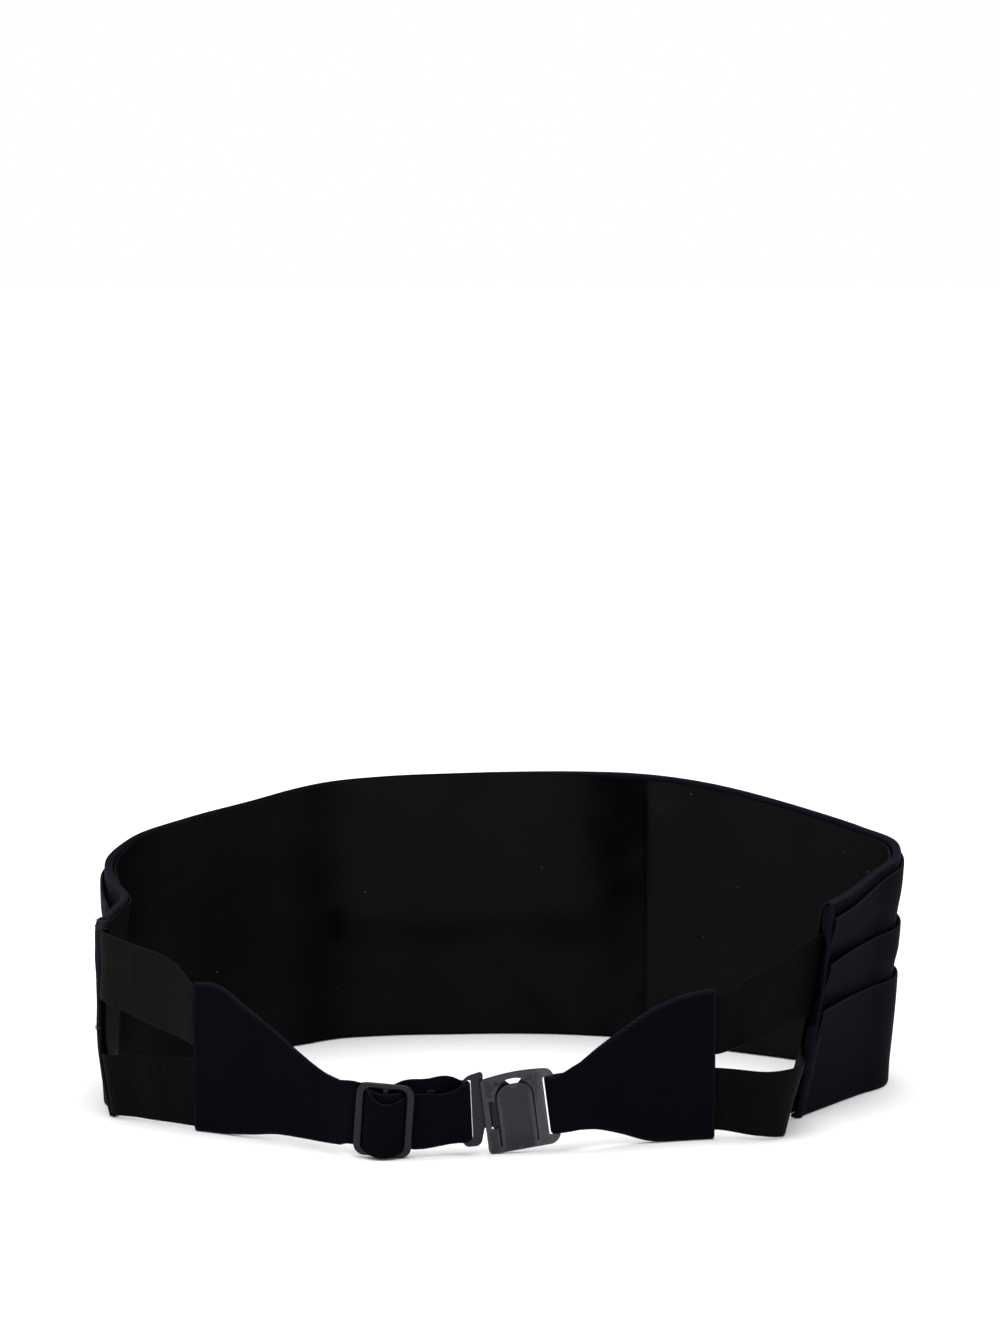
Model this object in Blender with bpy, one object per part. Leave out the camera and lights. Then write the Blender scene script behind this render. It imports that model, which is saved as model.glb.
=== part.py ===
"""A pleated cummerbund, fastened into a ring and standing on its lower edge.

+Y points to the front panel, the clasp is at -Y, and +Z is up. Left is -X and right
is +X, as seen from the clasp's side, which is also the wearer's own left and right.
The origin is at the middle of the bottom of the whole object.
"""

import math

import bmesh
import bpy
import numpy as np
from mathutils import Matrix, Vector

# The ring, seen from above
HALF_WIDTH = 0.166
HALF_DEPTH = 0.094

# Cloth walls and clearances
CLEARANCE = 0.0003
CLOTH_WALL = 0.0010
LINING_WALL = 0.0010
ELASTIC_WALL = 0.0011
STRAP_WALL = 0.0012

# Front panel
PANEL_HEIGHT = 0.1204
RIM_SHOWING = 0.0025
LINING_FOOT = 0.0012
HEM_HEIGHT = 0.006
END_HEM_HEIGHT = 0.0014
PLEAT_DEPTH = 0.009
PLEAT_GAP = 0.0004

# Tabs and straps
TAB_HEIGHT = 0.0617
TAB_LEAF = 0.0010
TAB_POCKET_RIM = 0.0013
STRAP_WIDTH = 0.023
LEFT_STRAP_RISE = 0.0036
RIGHT_STRAP_RISE = 0.0090
STRAP_TAIL = 0.010
ELASTIC_RUN_OUT = 0.0015

# Slider
SLIDER_WIDTH = 0.023
SLIDER_HEIGHT = 0.0295
SLIDER_WALL = 0.0020
SLIDER_BAR = 0.0029
SLIDER_CENTRE_BAR = 0.0024
SLIDER_RAIL = 0.0019
SLIDER_CORNER = 0.0045
SLIDER_TILT = math.radians(-4.0)
SLIDER_TURN = math.radians(-5.0)

# Clasp
CLASP_WALL = 0.0013
CLASP_TURN = math.radians(10.0)
HOOK_TILT = math.radians(7.5)
EYE_TILT = math.radians(2.5)
PLATE_CORNER = 0.0026
STRAP_BAR = 0.0022
STRAP_SLOT = 0.0030
SLOT_SLACK = 0.0010
HOOK_WIDTH = 0.0294
HOOK_HEIGHT = 0.0303
HOOK_SLOT_RISE = 0.0005
TONGUE_WIDTH = 0.0142
TONGUE_HEIGHT = 0.0246
TONGUE_FOOT = 0.0026
TONGUE_SIDE = 0.0044
TONGUE_GAP = 0.0007
TONGUE_CRESCENT = 0.0020
TONGUE_RAISE = 0.0009
NOTCH_WIDTH = 0.0026
NOTCH_HEIGHT = 0.0112
NOTCH_DROP = 0.0018
EYE_HEIGHT = 0.0300
EYE_BODY = 0.0056
EYE_RISE = 0.0030
LIP_WIDTH = 0.0012

# Plan and height of the front panel, from its left end round to its right end.
# x is a share of HALF_WIDTH, y of HALF_DEPTH, height of PANEL_HEIGHT, pocket of PLEAT_DEPTH.
PANEL = (
    # name, low x, low y, top x, top y, height, pocket, spans to the next row
    ("left end", -0.948, -0.480, -0.917, -0.472, 0.692, 0.10, 1),
    ("left end mouth", -0.951, -0.405, -0.913, -0.400, 0.714, 0.30, 1),
    ("left end fold", -0.956, -0.320, -0.906, -0.310, 0.740, 0.42, 2),
    ("left end neck", -0.965, -0.170, -0.950, -0.160, 0.777, 0.15, 2),
    ("left bend near", -0.972, -0.020, -0.975, -0.010, 0.803, 0.00, 2),
    ("left bend", -0.965, 0.110, -0.978, 0.120, 0.820, 0.00, 3),
    ("left bend far", -0.925, 0.265, -0.942, 0.275, 0.852, 0.00, 2),
    ("left side", -0.799, 0.490, -0.801, 0.500, 0.897, 0.00, 2),
    ("left side middle", -0.639, 0.650, -0.639, 0.660, 0.938, 0.00, 1),
    ("left crease near", -0.530, 0.775, -0.530, 0.780, 0.965, 0.00, 2),
    ("left crease", -0.445, 0.885, -0.445, 0.885, 0.976, 0.00, 2),
    ("front left", -0.301, 0.952, -0.301, 0.952, 0.987, 0.00, 2),
    ("middle left", -0.120, 0.980, -0.120, 0.980, 0.994, 0.00, 1),
    ("middle", 0.030, 0.992, 0.030, 0.992, 0.998, 0.00, 2),
    ("front right", 0.217, 0.962, 0.217, 0.962, 1.004, 0.00, 2),
    ("right crease", 0.349, 0.900, 0.349, 0.900, 1.006, 0.00, 2),
    ("right side near", 0.450, 0.815, 0.450, 0.815, 1.003, 0.00, 2),
    ("right side", 0.590, 0.670, 0.592, 0.670, 0.986, 0.00, 2),
    ("right side middle", 0.753, 0.513, 0.758, 0.513, 0.946, 0.00, 2),
    ("right bend far", 0.904, 0.330, 0.913, 0.330, 0.900, 0.00, 2),
    ("right bend", 0.968, 0.170, 0.984, 0.165, 0.868, 0.00, 3),
    ("right bend near", 0.958, 0.060, 0.982, 0.050, 0.838, 0.00, 2),
    ("right end neck", 0.890, -0.090, 0.925, -0.095, 0.790, 0.00, 2),
    ("right end mouth", 0.748, -0.405, 0.820, -0.385, 0.735, 0.00, 1),
    ("right end", 0.714, -0.480, 0.793, -0.452, 0.724, 0.00, 1),
)

# Upper edge of each pleat's fold, as a share of the panel's height there
PLEATS = (
    ("upper pleat", 0.935),
    ("middle pleat", 0.710),
    ("lower pleat", 0.484),
)

# Tabs, from the wide mouth to the strap. x is a share of HALF_WIDTH, y of HALF_DEPTH.
# rise is a share of that strap's rise, and width runs from 0, STRAP_WIDTH, to 1, TAB_HEIGHT.
LEFT_TAB = (
    # name, x, y, rise, width, spans to the next row
    ("mouth", -0.740, -0.707, 0.00, 1.00, 1),
    ("shoulder", -0.690, -0.745, 0.00, 1.00, 2),
    ("upper slope", -0.602, -0.815, 0.33, 0.74, 2),
    ("slope", -0.541, -0.857, 0.68, 0.51, 2),
    ("lower slope", -0.480, -0.912, 0.66, 0.31, 2),
    ("neck", -0.420, -0.972, 0.60, 0.15, 2),
    ("strap", -0.381, -1.035, 0.80, 0.09, 1),
)
RIGHT_TAB = (
    ("mouth", 0.515, -0.832, 0.00, 1.00, 1),
    ("shoulder", 0.472, -0.847, 0.00, 0.98, 1),
    ("upper slope", 0.425, -0.865, 0.00, 0.93, 2),
    ("slope", 0.360, -0.895, 0.07, 0.80, 2),
    ("lower slope", 0.287, -0.929, 0.51, 0.50, 2),
    ("neck", 0.229, -0.975, 0.83, 0.26, 2),
    ("strap", 0.191, -1.012, 0.92, 0.12, 1),
)

# Elastics, each from the panel's end to a tab's mouth. Low and high are its edges, as shares
# of the panel's end height and of TAB_HEIGHT.
ELASTICS = (
    # name, side, low at panel, high at panel, low at tab, high at tab
    ("elastic_left_upper", -1, 0.597, 0.945, 0.575, 0.970),
    ("elastic_left_lower", -1, 0.022, 0.323, 0.030, 0.490),
    ("elastic_right_upper", 1, 0.475, 0.850, 0.560, 0.950),
    ("elastic_right_lower", 1, 0.022, 0.310, 0.033, 0.435),
)

# Bows of the elastics off the straight way, as shares of its length: along it, and outward
BOWS = (
    # name, share of the way, share outward
    ("elastic_left_upper", 0.30, 0.04),
    ("elastic_left_upper", 0.70, -0.02),
    ("elastic_left_lower", 0.35, 0.02),
    ("elastic_left_lower", 0.70, 0.02),
    ("elastic_right_upper", 0.35, 0.02),
    ("elastic_right_upper", 0.70, 0.04),
    ("elastic_right_lower", 0.22, 0.24),
    ("elastic_right_lower", 0.45, 0.42),
    ("elastic_right_lower", 0.72, 0.34),
)

# Middles of the rigid pieces in plan, as shares of HALF_WIDTH and HALF_DEPTH
SLIDER_PLACE = (-0.275, -1.122)
HOOK_PLACE = (0.050, -1.043)

# Looks: name, colour, roughness, metallic
NAVY_CLOTH = ("navy_cloth", (0.0075, 0.0085, 0.0130), 0.80, 0.0)
BLACK_LINING = ("black_lining", (0.0050, 0.0050, 0.0055), 0.55, 0.0)
BLACK_ELASTIC = ("black_elastic", (0.0070, 0.0075, 0.0080), 0.75, 0.0)
GREY_METAL = ("grey_metal", (0.060, 0.064, 0.075), 0.35, 0.9)

# Distances of the panel's layers, at their middles, from the lining's inner face
HEM_OUT = LINING_WALL + CLEARANCE + CLOTH_WALL / 2
BASE_OUT = LINING_WALL + ELASTIC_WALL + 2 * CLEARANCE + CLOTH_WALL / 2
ELASTIC_OUT = LINING_WALL + CLEARANCE + ELASTIC_WALL / 2
LAYER = CLOTH_WALL + PLEAT_GAP

# Share of the panel's or tab's first span that an elastic reaches in
INSERT = 0.85

# A strip's chamfered edges, as shares of its wall: how far up they reach, and what stays square
STRIP_CHAMFER = 0.3
STRIP_SQUARE = 0.4

# Levels of the lining's faces, and degrees between the stations of a strap round a bar
LINING_LEVELS = 4
LOOP_STEP = 15

# The strap on the slider: degrees of its stations over the centre bar, with how far each one
# drops to the bottom rail, and degrees of the fixed loop's stations round the centre bar
STRAP_OVER_BAR = (
    # degrees, drop
    (145, 0.30),
    (118, 0.75),
    (90, 1.00),
    (62, 0.75),
    (35, 0.30),
)
FIXED_LOOP = (-70, -100, -130, -160, 170, 140, 110, 80, 50, 20, -10)

# How far the strap rides up in the slider as it comes back, as shares of its play there
RIDE_AT_SIDE = 1.3
RIDE_AT_BAR = 1.2
RIDE_NEAR_LOOP = 0.6
NEAR_LOOP_BACK = 0.95

# Roundness of the arch-shaped opening's shoulders and of the tongue's
OPENING_ROUNDNESS = 0.92
TONGUE_ROUNDNESS = 0.78

# Corners of the hook plate as shares of PLATE_CORNER, anticlockwise from the lower left one
HOOK_CORNERS = (0.7, 1.8, 1.2, 0.4)


def clear_scene():
    for old in list(bpy.data.objects):
        bpy.data.objects.remove(old, do_unlink=True)


def material(name, colour, roughness, metallic):
    made = bpy.data.materials.new(name)
    made.use_nodes = True
    shader = made.node_tree.nodes["Principled BSDF"]
    shader.inputs["Base Color"].default_value = (*colour, 1.0)
    shader.inputs["Roughness"].default_value = roughness
    shader.inputs["Metallic"].default_value = metallic
    return made


def finish_object(name, bm, look, sharp_degrees=40.0):
    bmesh.ops.recalc_face_normals(bm, faces=bm.faces[:])
    mesh = bpy.data.meshes.new(name)
    bm.to_mesh(mesh)
    bm.free()
    mesh.shade_smooth()
    mesh.set_sharp_from_angle(angle=math.radians(sharp_degrees))
    mesh.materials.append(look)
    made = bpy.data.objects.new(name, mesh)
    bpy.context.scene.collection.objects.link(made)
    return made


def smooth_rows(rows, spans):
    """Samples of one smooth curve through rows of numbers, whose first two are its plan x and y."""
    rows = np.array(rows, dtype=float)
    gaps = np.linalg.norm(np.diff(rows[:, :2], axis=0), axis=1)
    chords = np.diff(rows, axis=0) / gaps[:, None]
    before = gaps[:-1, None]
    after = gaps[1:, None]
    slopes = np.empty_like(rows)
    slopes[0] = chords[0]
    slopes[-1] = chords[-1]
    slopes[1:-1] = (chords[:-1] * after + chords[1:] * before) / (before + after)
    samples = []
    for i, gap in enumerate(gaps):
        for k in range(spans[i]):
            t = k / spans[i]
            start = (2 * t**3 - 3 * t**2 + 1) * rows[i] + (t**3 - 2 * t**2 + t) * gap * slopes[i]
            finish = (3 * t**2 - 2 * t**3) * rows[i + 1] + (t**3 - t**2) * gap * slopes[i + 1]
            samples.append(start + finish)
    samples.append(rows[-1])
    return np.array(samples)


def right_hand(points):
    """Vectors to the right of a route in a plane, one unit from it and stretched at its bends."""
    steps = np.diff(np.array(points, dtype=float), axis=0)
    steps /= np.linalg.norm(steps, axis=1)[:, None]
    before = np.vstack([steps[:1], steps])
    after = np.vstack([steps, steps[-1:]])
    middle = before + after
    middle /= np.linalg.norm(middle, axis=1)[:, None]
    stretch = 1.0 / np.sum(middle * after, axis=1)
    return np.column_stack([middle[:, 1], -middle[:, 0]]) * stretch[:, None]


def loft(name, rings, cap, look):
    """A closed solid through rings of points. cap lists the faces that close each end."""
    bm = bmesh.new()
    made = [[bm.verts.new(point) for point in ring] for ring in rings]
    for near, far in zip(made, made[1:]):
        for i in range(len(near)):
            j = (i + 1) % len(near)
            bm.faces.new((near[i], near[j], far[j], far[i]))
    for face in cap:
        bm.faces.new([made[0][i] for i in face])
        bm.faces.new([made[-1][i] for i in face])
    return finish_object(name, bm, look)


def two_sided_cap(line_points):
    """Quads that close a ring made of the two sides of a line, out along one and back along the other."""
    last = 2 * line_points - 1
    return [(i, i + 1, last - i - 1, last - i) for i in range(line_points - 1)]


class Panel:
    """The front panel's surface: stations along it, each with its edges, height and way outward."""

    def __init__(self):
        rows = []
        for _, low_x, low_y, top_x, top_y, height, pocket, _ in PANEL:
            low = (low_x * HALF_WIDTH, low_y * HALF_DEPTH)
            top = (top_x * HALF_WIDTH, top_y * HALF_DEPTH)
            rows.append((*low, *top, height * PANEL_HEIGHT, pocket * PLEAT_DEPTH))
        samples = smooth_rows(rows, [row[-1] for row in PANEL[:-1]])
        self.low = samples[:, 0:2]
        self.top = samples[:, 2:4]
        self.height = samples[:, 4]
        self.pocket = samples[:, 5]
        self.out = -right_hand((self.low + self.top) / 2)
        self.count = len(samples)

    def near_end(self, station):
        return min(station, self.count - 1 - station) < 2

    def point(self, station, out, z, opens=0):
        """A point at a distance out from the lining's inner face. opens is 1 past the pocket."""
        share = z / self.height[station]
        plan = self.low[station] * (1 - share) + self.top[station] * share
        plan = plan + self.out[station] * (out + opens * self.pocket[station] * share**2)
        return Vector((plan[0], plan[1], z))

    def end_points(self, side, out, z_share):
        """The point at one end of the panel and one INSERT of a span inside it."""
        end, inside = (0, 1) if side < 0 else (self.count - 1, self.count - 2)
        z = z_share * self.height[end]
        at_end = self.point(end, out, z)
        return at_end, at_end.lerp(self.point(inside, out, z), INSERT)


def pleated_line(height, hem):
    """The pleated cloth from its upper hem down to its lower one, as rows of (out, z, opens)."""
    half = LAYER / 2
    turn = (BASE_OUT - HEM_OUT) / 2
    rim = height - CLOTH_WALL / 2
    line = [
        (HEM_OUT, height - RIM_SHOWING - hem, 0),
        (HEM_OUT, rim - turn, 0),
        (HEM_OUT + turn, rim, 0),
        (BASE_OUT, rim - turn, 0),
    ]
    opens = 0
    for _, share in PLEATS:
        top = share * height
        bottom = top - PLEAT_DEPTH
        if opens:
            line.append((BASE_OUT, top + CLOTH_WALL, opens))
        line += [
            (BASE_OUT, bottom + half, opens),
            (BASE_OUT + half, bottom, 1),
            (BASE_OUT + LAYER, bottom + half, 1),
            (BASE_OUT + LAYER, top - half, 1),
            (BASE_OUT + LAYER + half, top, 1),
            (BASE_OUT + 2 * LAYER, top - half, 1),
            (BASE_OUT + 2 * LAYER, bottom - CLOTH_WALL, 1),
        ]
        opens = 1
    line += [
        (BASE_OUT + LAYER, bottom - PLEAT_DEPTH, 1),
        (BASE_OUT, CLOTH_WALL / 2, 1),
        (HEM_OUT, CLOTH_WALL / 2, 1),
        (HEM_OUT, hem, 1),
    ]
    return line


def both_sides(line, wall):
    """The two sides of a line with a wall, as one ring that goes out and comes back."""
    half = right_hand([row[:2] for row in line]) * wall / 2
    one = [(row[0] + side[0], row[1] + side[1], row[2]) for row, side in zip(line, half)]
    other = [(row[0] - side[0], row[1] - side[1], row[2]) for row, side in zip(line, half)]
    return one + other[::-1]


def make_pleated_front(panel, look):
    rings = []
    for station in range(panel.count):
        hem = END_HEM_HEIGHT if panel.near_end(station) else HEM_HEIGHT
        line = pleated_line(panel.height[station], hem)
        ring = both_sides(line, CLOTH_WALL)
        rings.append([panel.point(station, out, z, opens) for out, z, opens in ring])
    return loft("pleated_front", rings, two_sided_cap(len(line)), look)


def make_lining(panel, look):
    rings = []
    for station in range(panel.count):
        head = panel.height[station] - RIM_SHOWING
        heights = np.linspace(LINING_FOOT, head, LINING_LEVELS)
        inner = [panel.point(station, 0.0, z) for z in heights]
        outer = [panel.point(station, LINING_WALL, z) for z in heights[::-1]]
        rings.append(inner + outer)
    return loft("lining", rings, two_sided_cap(LINING_LEVELS), look)


def strip_rings(stations):
    """Rings of a strip with chamfered edges, through stations of (low edge, high edge, wall)."""
    plan = [((low.x + high.x) / 2, (low.y + high.y) / 2) for low, high, _ in stations]
    rings = []
    for (low, high, wall), side in zip(stations, right_hand(plan)):
        half = Vector((side[0], side[1], 0.0)) * wall / 2
        square = half * STRIP_SQUARE
        up = (high - low).normalized() * wall * STRIP_CHAMFER
        rings.append([
            low - half + up, low - square, low + square, low + half + up,
            high + half - up, high + square, high - square, high - half - up,
        ])
    return rings


STRIP_CAP = ((0, 1, 2, 3), (3, 4, 7, 0), (4, 5, 6, 7))


class Tab:
    """A tab's route from its wide mouth to its strap, with its edges' heights."""

    def __init__(self, rows, rise):
        plan = []
        for _, x, y, rise_share, width_share, _ in rows:
            low = rise_share * rise
            high = low + STRAP_WIDTH + width_share * (TAB_HEIGHT - STRAP_WIDTH)
            plan.append((x * HALF_WIDTH, y * HALF_DEPTH, low, high, width_share))
        self.samples = smooth_rows(plan, [row[-1] for row in rows[:-1]])

    def at(self, station, z):
        x, y = self.samples[station][:2]
        return Vector((x, y, z))

    def stations(self):
        mouth_wall = ELASTIC_WALL + 2 * CLEARANCE + 2 * TAB_LEAF
        rows = []
        for x, y, low, high, width_share in self.samples:
            wall = STRAP_WALL + (mouth_wall - STRAP_WALL) * min(width_share, 1.0)
            rows.append((Vector((x, y, low)), Vector((x, y, high)), wall))
        return rows

    def pocket_rings(self):
        """The pocket's two rings, its bottom first, inside the tab's first span."""
        rows = self.stations()[:2]
        wall = ELASTIC_WALL + 2 * CLEARANCE
        rim = Vector((0.0, 0.0, TAB_POCKET_RIM))
        mouth, bottom = strip_rings([(low + rim, high - rim, wall) for low, high, _ in rows])
        return [bottom, mouth]

    def mouth_points(self, z_share):
        z = z_share * TAB_HEIGHT
        mouth = self.at(0, z)
        return mouth, mouth.lerp(self.at(1, z), INSERT)


class Axes:
    """A rigid piece's own axes: along the waist to the right, up, and out to the clasp's side."""

    def __init__(self, origin, turn, tilt):
        level = Vector((math.cos(turn), math.sin(turn), 0.0))
        upright = Vector((0.0, 0.0, 1.0))
        self.origin = origin
        self.out = Vector((level.y, -level.x, 0.0))
        self.along = level * math.cos(tilt) + upright * math.sin(tilt)
        self.up = upright * math.cos(tilt) - level * math.sin(tilt)

    def at(self, along, up, out):
        return self.origin + self.along * along + self.up * up + self.out * out

    def flat(self, point):
        offset = point - self.origin
        return offset.dot(self.along), offset.dot(self.up)


def rounded_outline(left, right, low, high, radii, steps=4):
    """A rectangle with rounded corners, anticlockwise from the lower left one."""
    corners = ((left, low, 180), (right, low, 270), (right, high, 0), (left, high, 90))
    points = []
    for (x, y, start), radius in zip(corners, radii):
        inward_x = radius if x == left else -radius
        inward_y = radius if y == low else -radius
        for k in range(steps + 1):
            angle = math.radians(start + 90 * k / steps)
            points.append((
                x + inward_x + radius * math.cos(angle),
                y + inward_y + radius * math.sin(angle),
            ))
    return points


def plate(axes, out, wall, outer, holes=()):
    """A bmesh of a flat plate with holes, its middle at a distance out on its axes."""
    bm = bmesh.new()
    edges = []
    for loop in (outer, *holes):
        verts = [bm.verts.new(axes.at(x, y, out - wall / 2)) for x, y in loop]
        edges += [bm.edges.new(pair) for pair in zip(verts, verts[1:] + verts[:1])]
    bmesh.ops.triangle_fill(bm, edges=edges, use_beauty=True)
    grown = bmesh.ops.extrude_face_region(bm, geom=bm.faces[:], use_keep_orig=True)
    fronts = [item for item in grown["geom"] if isinstance(item, bmesh.types.BMVert)]
    bmesh.ops.translate(bm, verts=fronts, vec=axes.out * wall)
    return bm


def slider_axes():
    """The slider stands on its lower corner."""
    straight_x = SLIDER_WIDTH / 2 - SLIDER_CORNER
    straight_z = SLIDER_HEIGHT / 2 - SLIDER_CORNER
    drop = straight_z * math.cos(SLIDER_TILT) + straight_x * abs(math.sin(SLIDER_TILT)) + SLIDER_CORNER
    x, y = SLIDER_PLACE
    return Axes(Vector((x * HALF_WIDTH, y * HALF_DEPTH, drop)), SLIDER_TURN, SLIDER_TILT)


def make_slider(axes, look):
    half_width = SLIDER_WIDTH / 2
    half_height = SLIDER_HEIGHT / 2
    side = half_width - SLIDER_BAR
    rail = half_height - SLIDER_RAIL
    bar = SLIDER_CENTRE_BAR / 2
    soft = SLIDER_CORNER - SLIDER_RAIL
    tight = SLIDER_CENTRE_BAR / 4
    outer = rounded_outline(-half_width, half_width, -half_height, half_height, [SLIDER_CORNER] * 4)
    left = rounded_outline(-side, -bar, -rail, rail, (soft, tight, tight, soft), steps=3)
    right = rounded_outline(bar, side, -rail, rail, (tight, soft, soft, tight), steps=3)
    made = finish_object("slider", plate(axes, 0.0, SLIDER_WALL, outer, (left, right)), look)
    soften = made.modifiers.new("soft edges", "BEVEL")
    soften.width = SLIDER_WALL / 5
    soften.segments = 1
    soften.limit_method = "ANGLE"
    soften.angle_limit = math.radians(60)
    return made


def hook_axes():
    """The hook plate stands on its lower left corner."""
    radius = HOOK_CORNERS[0] * PLATE_CORNER
    straight_x = HOOK_WIDTH / 2 - radius
    straight_z = HOOK_HEIGHT / 2 - radius
    drop = straight_z * math.cos(HOOK_TILT) + straight_x * math.sin(HOOK_TILT) + radius
    x, y = HOOK_PLACE
    return Axes(Vector((x * HALF_WIDTH, y * HALF_DEPTH, drop)), CLASP_TURN, HOOK_TILT)


# The hook plate from its right side to its left, measured from its middle
HOOK_BAR_MIDDLE = HOOK_WIDTH / 2 - STRAP_BAR / 2
HOOK_SLOT_RIGHT = HOOK_WIDTH / 2 - STRAP_BAR
HOOK_SLOT_LEFT = HOOK_SLOT_RIGHT - STRAP_SLOT
TONGUE_RIGHT = HOOK_SLOT_LEFT - TONGUE_SIDE
TONGUE_LEFT = TONGUE_RIGHT - TONGUE_WIDTH
NOTCH_RIGHT = TONGUE_LEFT - TONGUE_GAP
NOTCH_LEFT = NOTCH_RIGHT - NOTCH_WIDTH
TONGUE_LOW = TONGUE_FOOT - HOOK_HEIGHT / 2
TONGUE_HIGH = TONGUE_LOW + TONGUE_HEIGHT


def arch(left, right, low, high, roundness):
    """An arch's outline: up its left side, round its shoulders, and down its right side."""
    steps = 6
    half = (right - left) / 2
    middle = (left + right) / 2
    radius = half * roundness
    shoulder = []
    for k in range(steps + 1):
        angle = math.pi / 2 * k / steps
        reach = half - radius + radius * math.cos(angle)
        shoulder.append((reach, high - radius + radius * math.sin(angle)))
    points = [(left, low)]
    points += [(middle - x, z) for x, z in shoulder]
    points += [(middle + x, z) for x, z in reversed(shoulder)]
    points.append((right, low))
    return points


def tongue_opening():
    """The one opening round the tongue: its slits, the crescent above it and the notch beside it."""
    around = arch(
        NOTCH_RIGHT, TONGUE_RIGHT + TONGUE_GAP, TONGUE_LOW, TONGUE_HIGH + TONGUE_CRESCENT,
        OPENING_ROUNDNESS,
    )
    tongue = arch(TONGUE_LEFT, TONGUE_RIGHT, TONGUE_LOW, TONGUE_HIGH, TONGUE_ROUNDNESS)
    notch_low = -NOTCH_DROP - NOTCH_HEIGHT / 2
    notch_high = -NOTCH_DROP + NOTCH_HEIGHT / 2
    notch = [
        (NOTCH_RIGHT, notch_low), (NOTCH_LEFT, notch_low),
        (NOTCH_LEFT, notch_high), (NOTCH_RIGHT, notch_high),
    ]
    return around[:1] + notch + around[1:] + tongue[::-1]


def make_hook(axes, look):
    half_width = HOOK_WIDTH / 2
    half_height = HOOK_HEIGHT / 2
    radii = [share * PLATE_CORNER for share in HOOK_CORNERS]
    outer = rounded_outline(-half_width, half_width, -half_height, half_height, radii)
    slot_half = (STRAP_WIDTH + SLOT_SLACK) / 2
    slot = rounded_outline(
        HOOK_SLOT_LEFT, HOOK_SLOT_RIGHT, HOOK_SLOT_RISE - slot_half, HOOK_SLOT_RISE + slot_half,
        [STRAP_SLOT / 4] * 4, steps=2,
    )
    bm = plate(axes, 0.0, CLASP_WALL, outer, (tongue_opening(), slot))
    reach = TONGUE_GAP / 2
    for vert in bm.verts:
        x, z = axes.flat(vert.co)
        beside = TONGUE_LEFT - reach < x < TONGUE_RIGHT + reach
        if beside and TONGUE_LOW + reach < z < TONGUE_HIGH + reach:
            vert.co += axes.out * TONGUE_RAISE
    return finish_object("clasp_hook", bm, look)


# The eye plate from its left side to its right, measured from its middle
EYE_WIDTH = STRAP_BAR + STRAP_SLOT + EYE_BODY
EYE_BAR_MIDDLE = STRAP_BAR / 2 - EYE_WIDTH / 2
EYE_OUT = -(CLASP_WALL + CLEARANCE)


def eye_axes(hook):
    """The eye plate lies behind the hook plate and ends at the hook plate's notch."""
    middle = NOTCH_LEFT - CLEARANCE - EYE_WIDTH / 2
    level = Vector((hook.along.x, hook.along.y, 0.0)).normalized()
    origin = hook.origin + level * middle
    origin.z = LEFT_STRAP_RISE + EYE_RISE + STRAP_WIDTH / 2
    return Axes(origin, CLASP_TURN, EYE_TILT)


def make_eye(axes, hook, look):
    half_width = EYE_WIDTH / 2
    half_height = EYE_HEIGHT / 2
    outer = rounded_outline(-half_width, half_width, -half_height, half_height, [PLATE_CORNER] * 4)
    slot_left = STRAP_BAR - half_width
    slot_half = (STRAP_WIDTH + SLOT_SLACK) / 2
    slot = rounded_outline(
        slot_left, slot_left + STRAP_SLOT, -slot_half, slot_half, [STRAP_SLOT / 4] * 4, steps=2,
    )
    lip_middle = (NOTCH_LEFT + NOTCH_RIGHT) / 2
    lip_half = NOTCH_HEIGHT / 2 - 2 * CLEARANCE
    lip_low = -NOTCH_DROP - lip_half
    lip_high = -NOTCH_DROP + lip_half
    nose_low = axes.flat(hook.at(lip_middle + LIP_WIDTH / 2, lip_low, 0.0))
    nose_high = axes.flat(hook.at(lip_middle + LIP_WIDTH / 2, lip_high, 0.0))
    root_low = (half_width, nose_low[1])
    root_high = (half_width, nose_high[1])
    right_side = len(outer) // 2
    outline = outer[:right_side] + [root_low, nose_low, nose_high, root_high] + outer[right_side:]
    made = finish_object("clasp_eye", plate(axes, EYE_OUT, CLASP_WALL, outline, (slot,)), look)
    lip_outline = [
        (lip_middle - LIP_WIDTH / 2, lip_low), (lip_middle + LIP_WIDTH / 2, lip_low),
        (lip_middle + LIP_WIDTH / 2, lip_high), (lip_middle - LIP_WIDTH / 2, lip_high),
    ]
    lip = finish_object("eye_lip", plate(hook, EYE_OUT / 2, 2 * CLASP_WALL, lip_outline), look)
    lip.hide_render = True
    lip.display_type = "WIRE"
    join = made.modifiers.new("lip", "BOOLEAN")
    join.operation = "UNION"
    join.object = lip
    return made, lip


def loop_points(half_width, half_wall, extra, degrees):
    """Points (along, out) of a strap's middle round a bar, a clearance off its corners."""
    radius = math.hypot(half_width, half_wall) + CLEARANCE + STRAP_WALL / 2 + extra
    radius /= math.cos(math.radians(LOOP_STEP))
    points = []
    for angle in degrees:
        turned = math.radians(angle)
        points.append((radius * math.cos(turned), radius * math.sin(turned)))
    return points


def strap_station(axes, along, out, shift, width=STRAP_WIDTH):
    """A station of a strap on a rigid piece's axes, its middle shifted up by a length."""
    low = axes.at(along, shift - width / 2, out)
    high = axes.at(along, shift + width / 2, out)
    return low, high, STRAP_WALL


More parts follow.
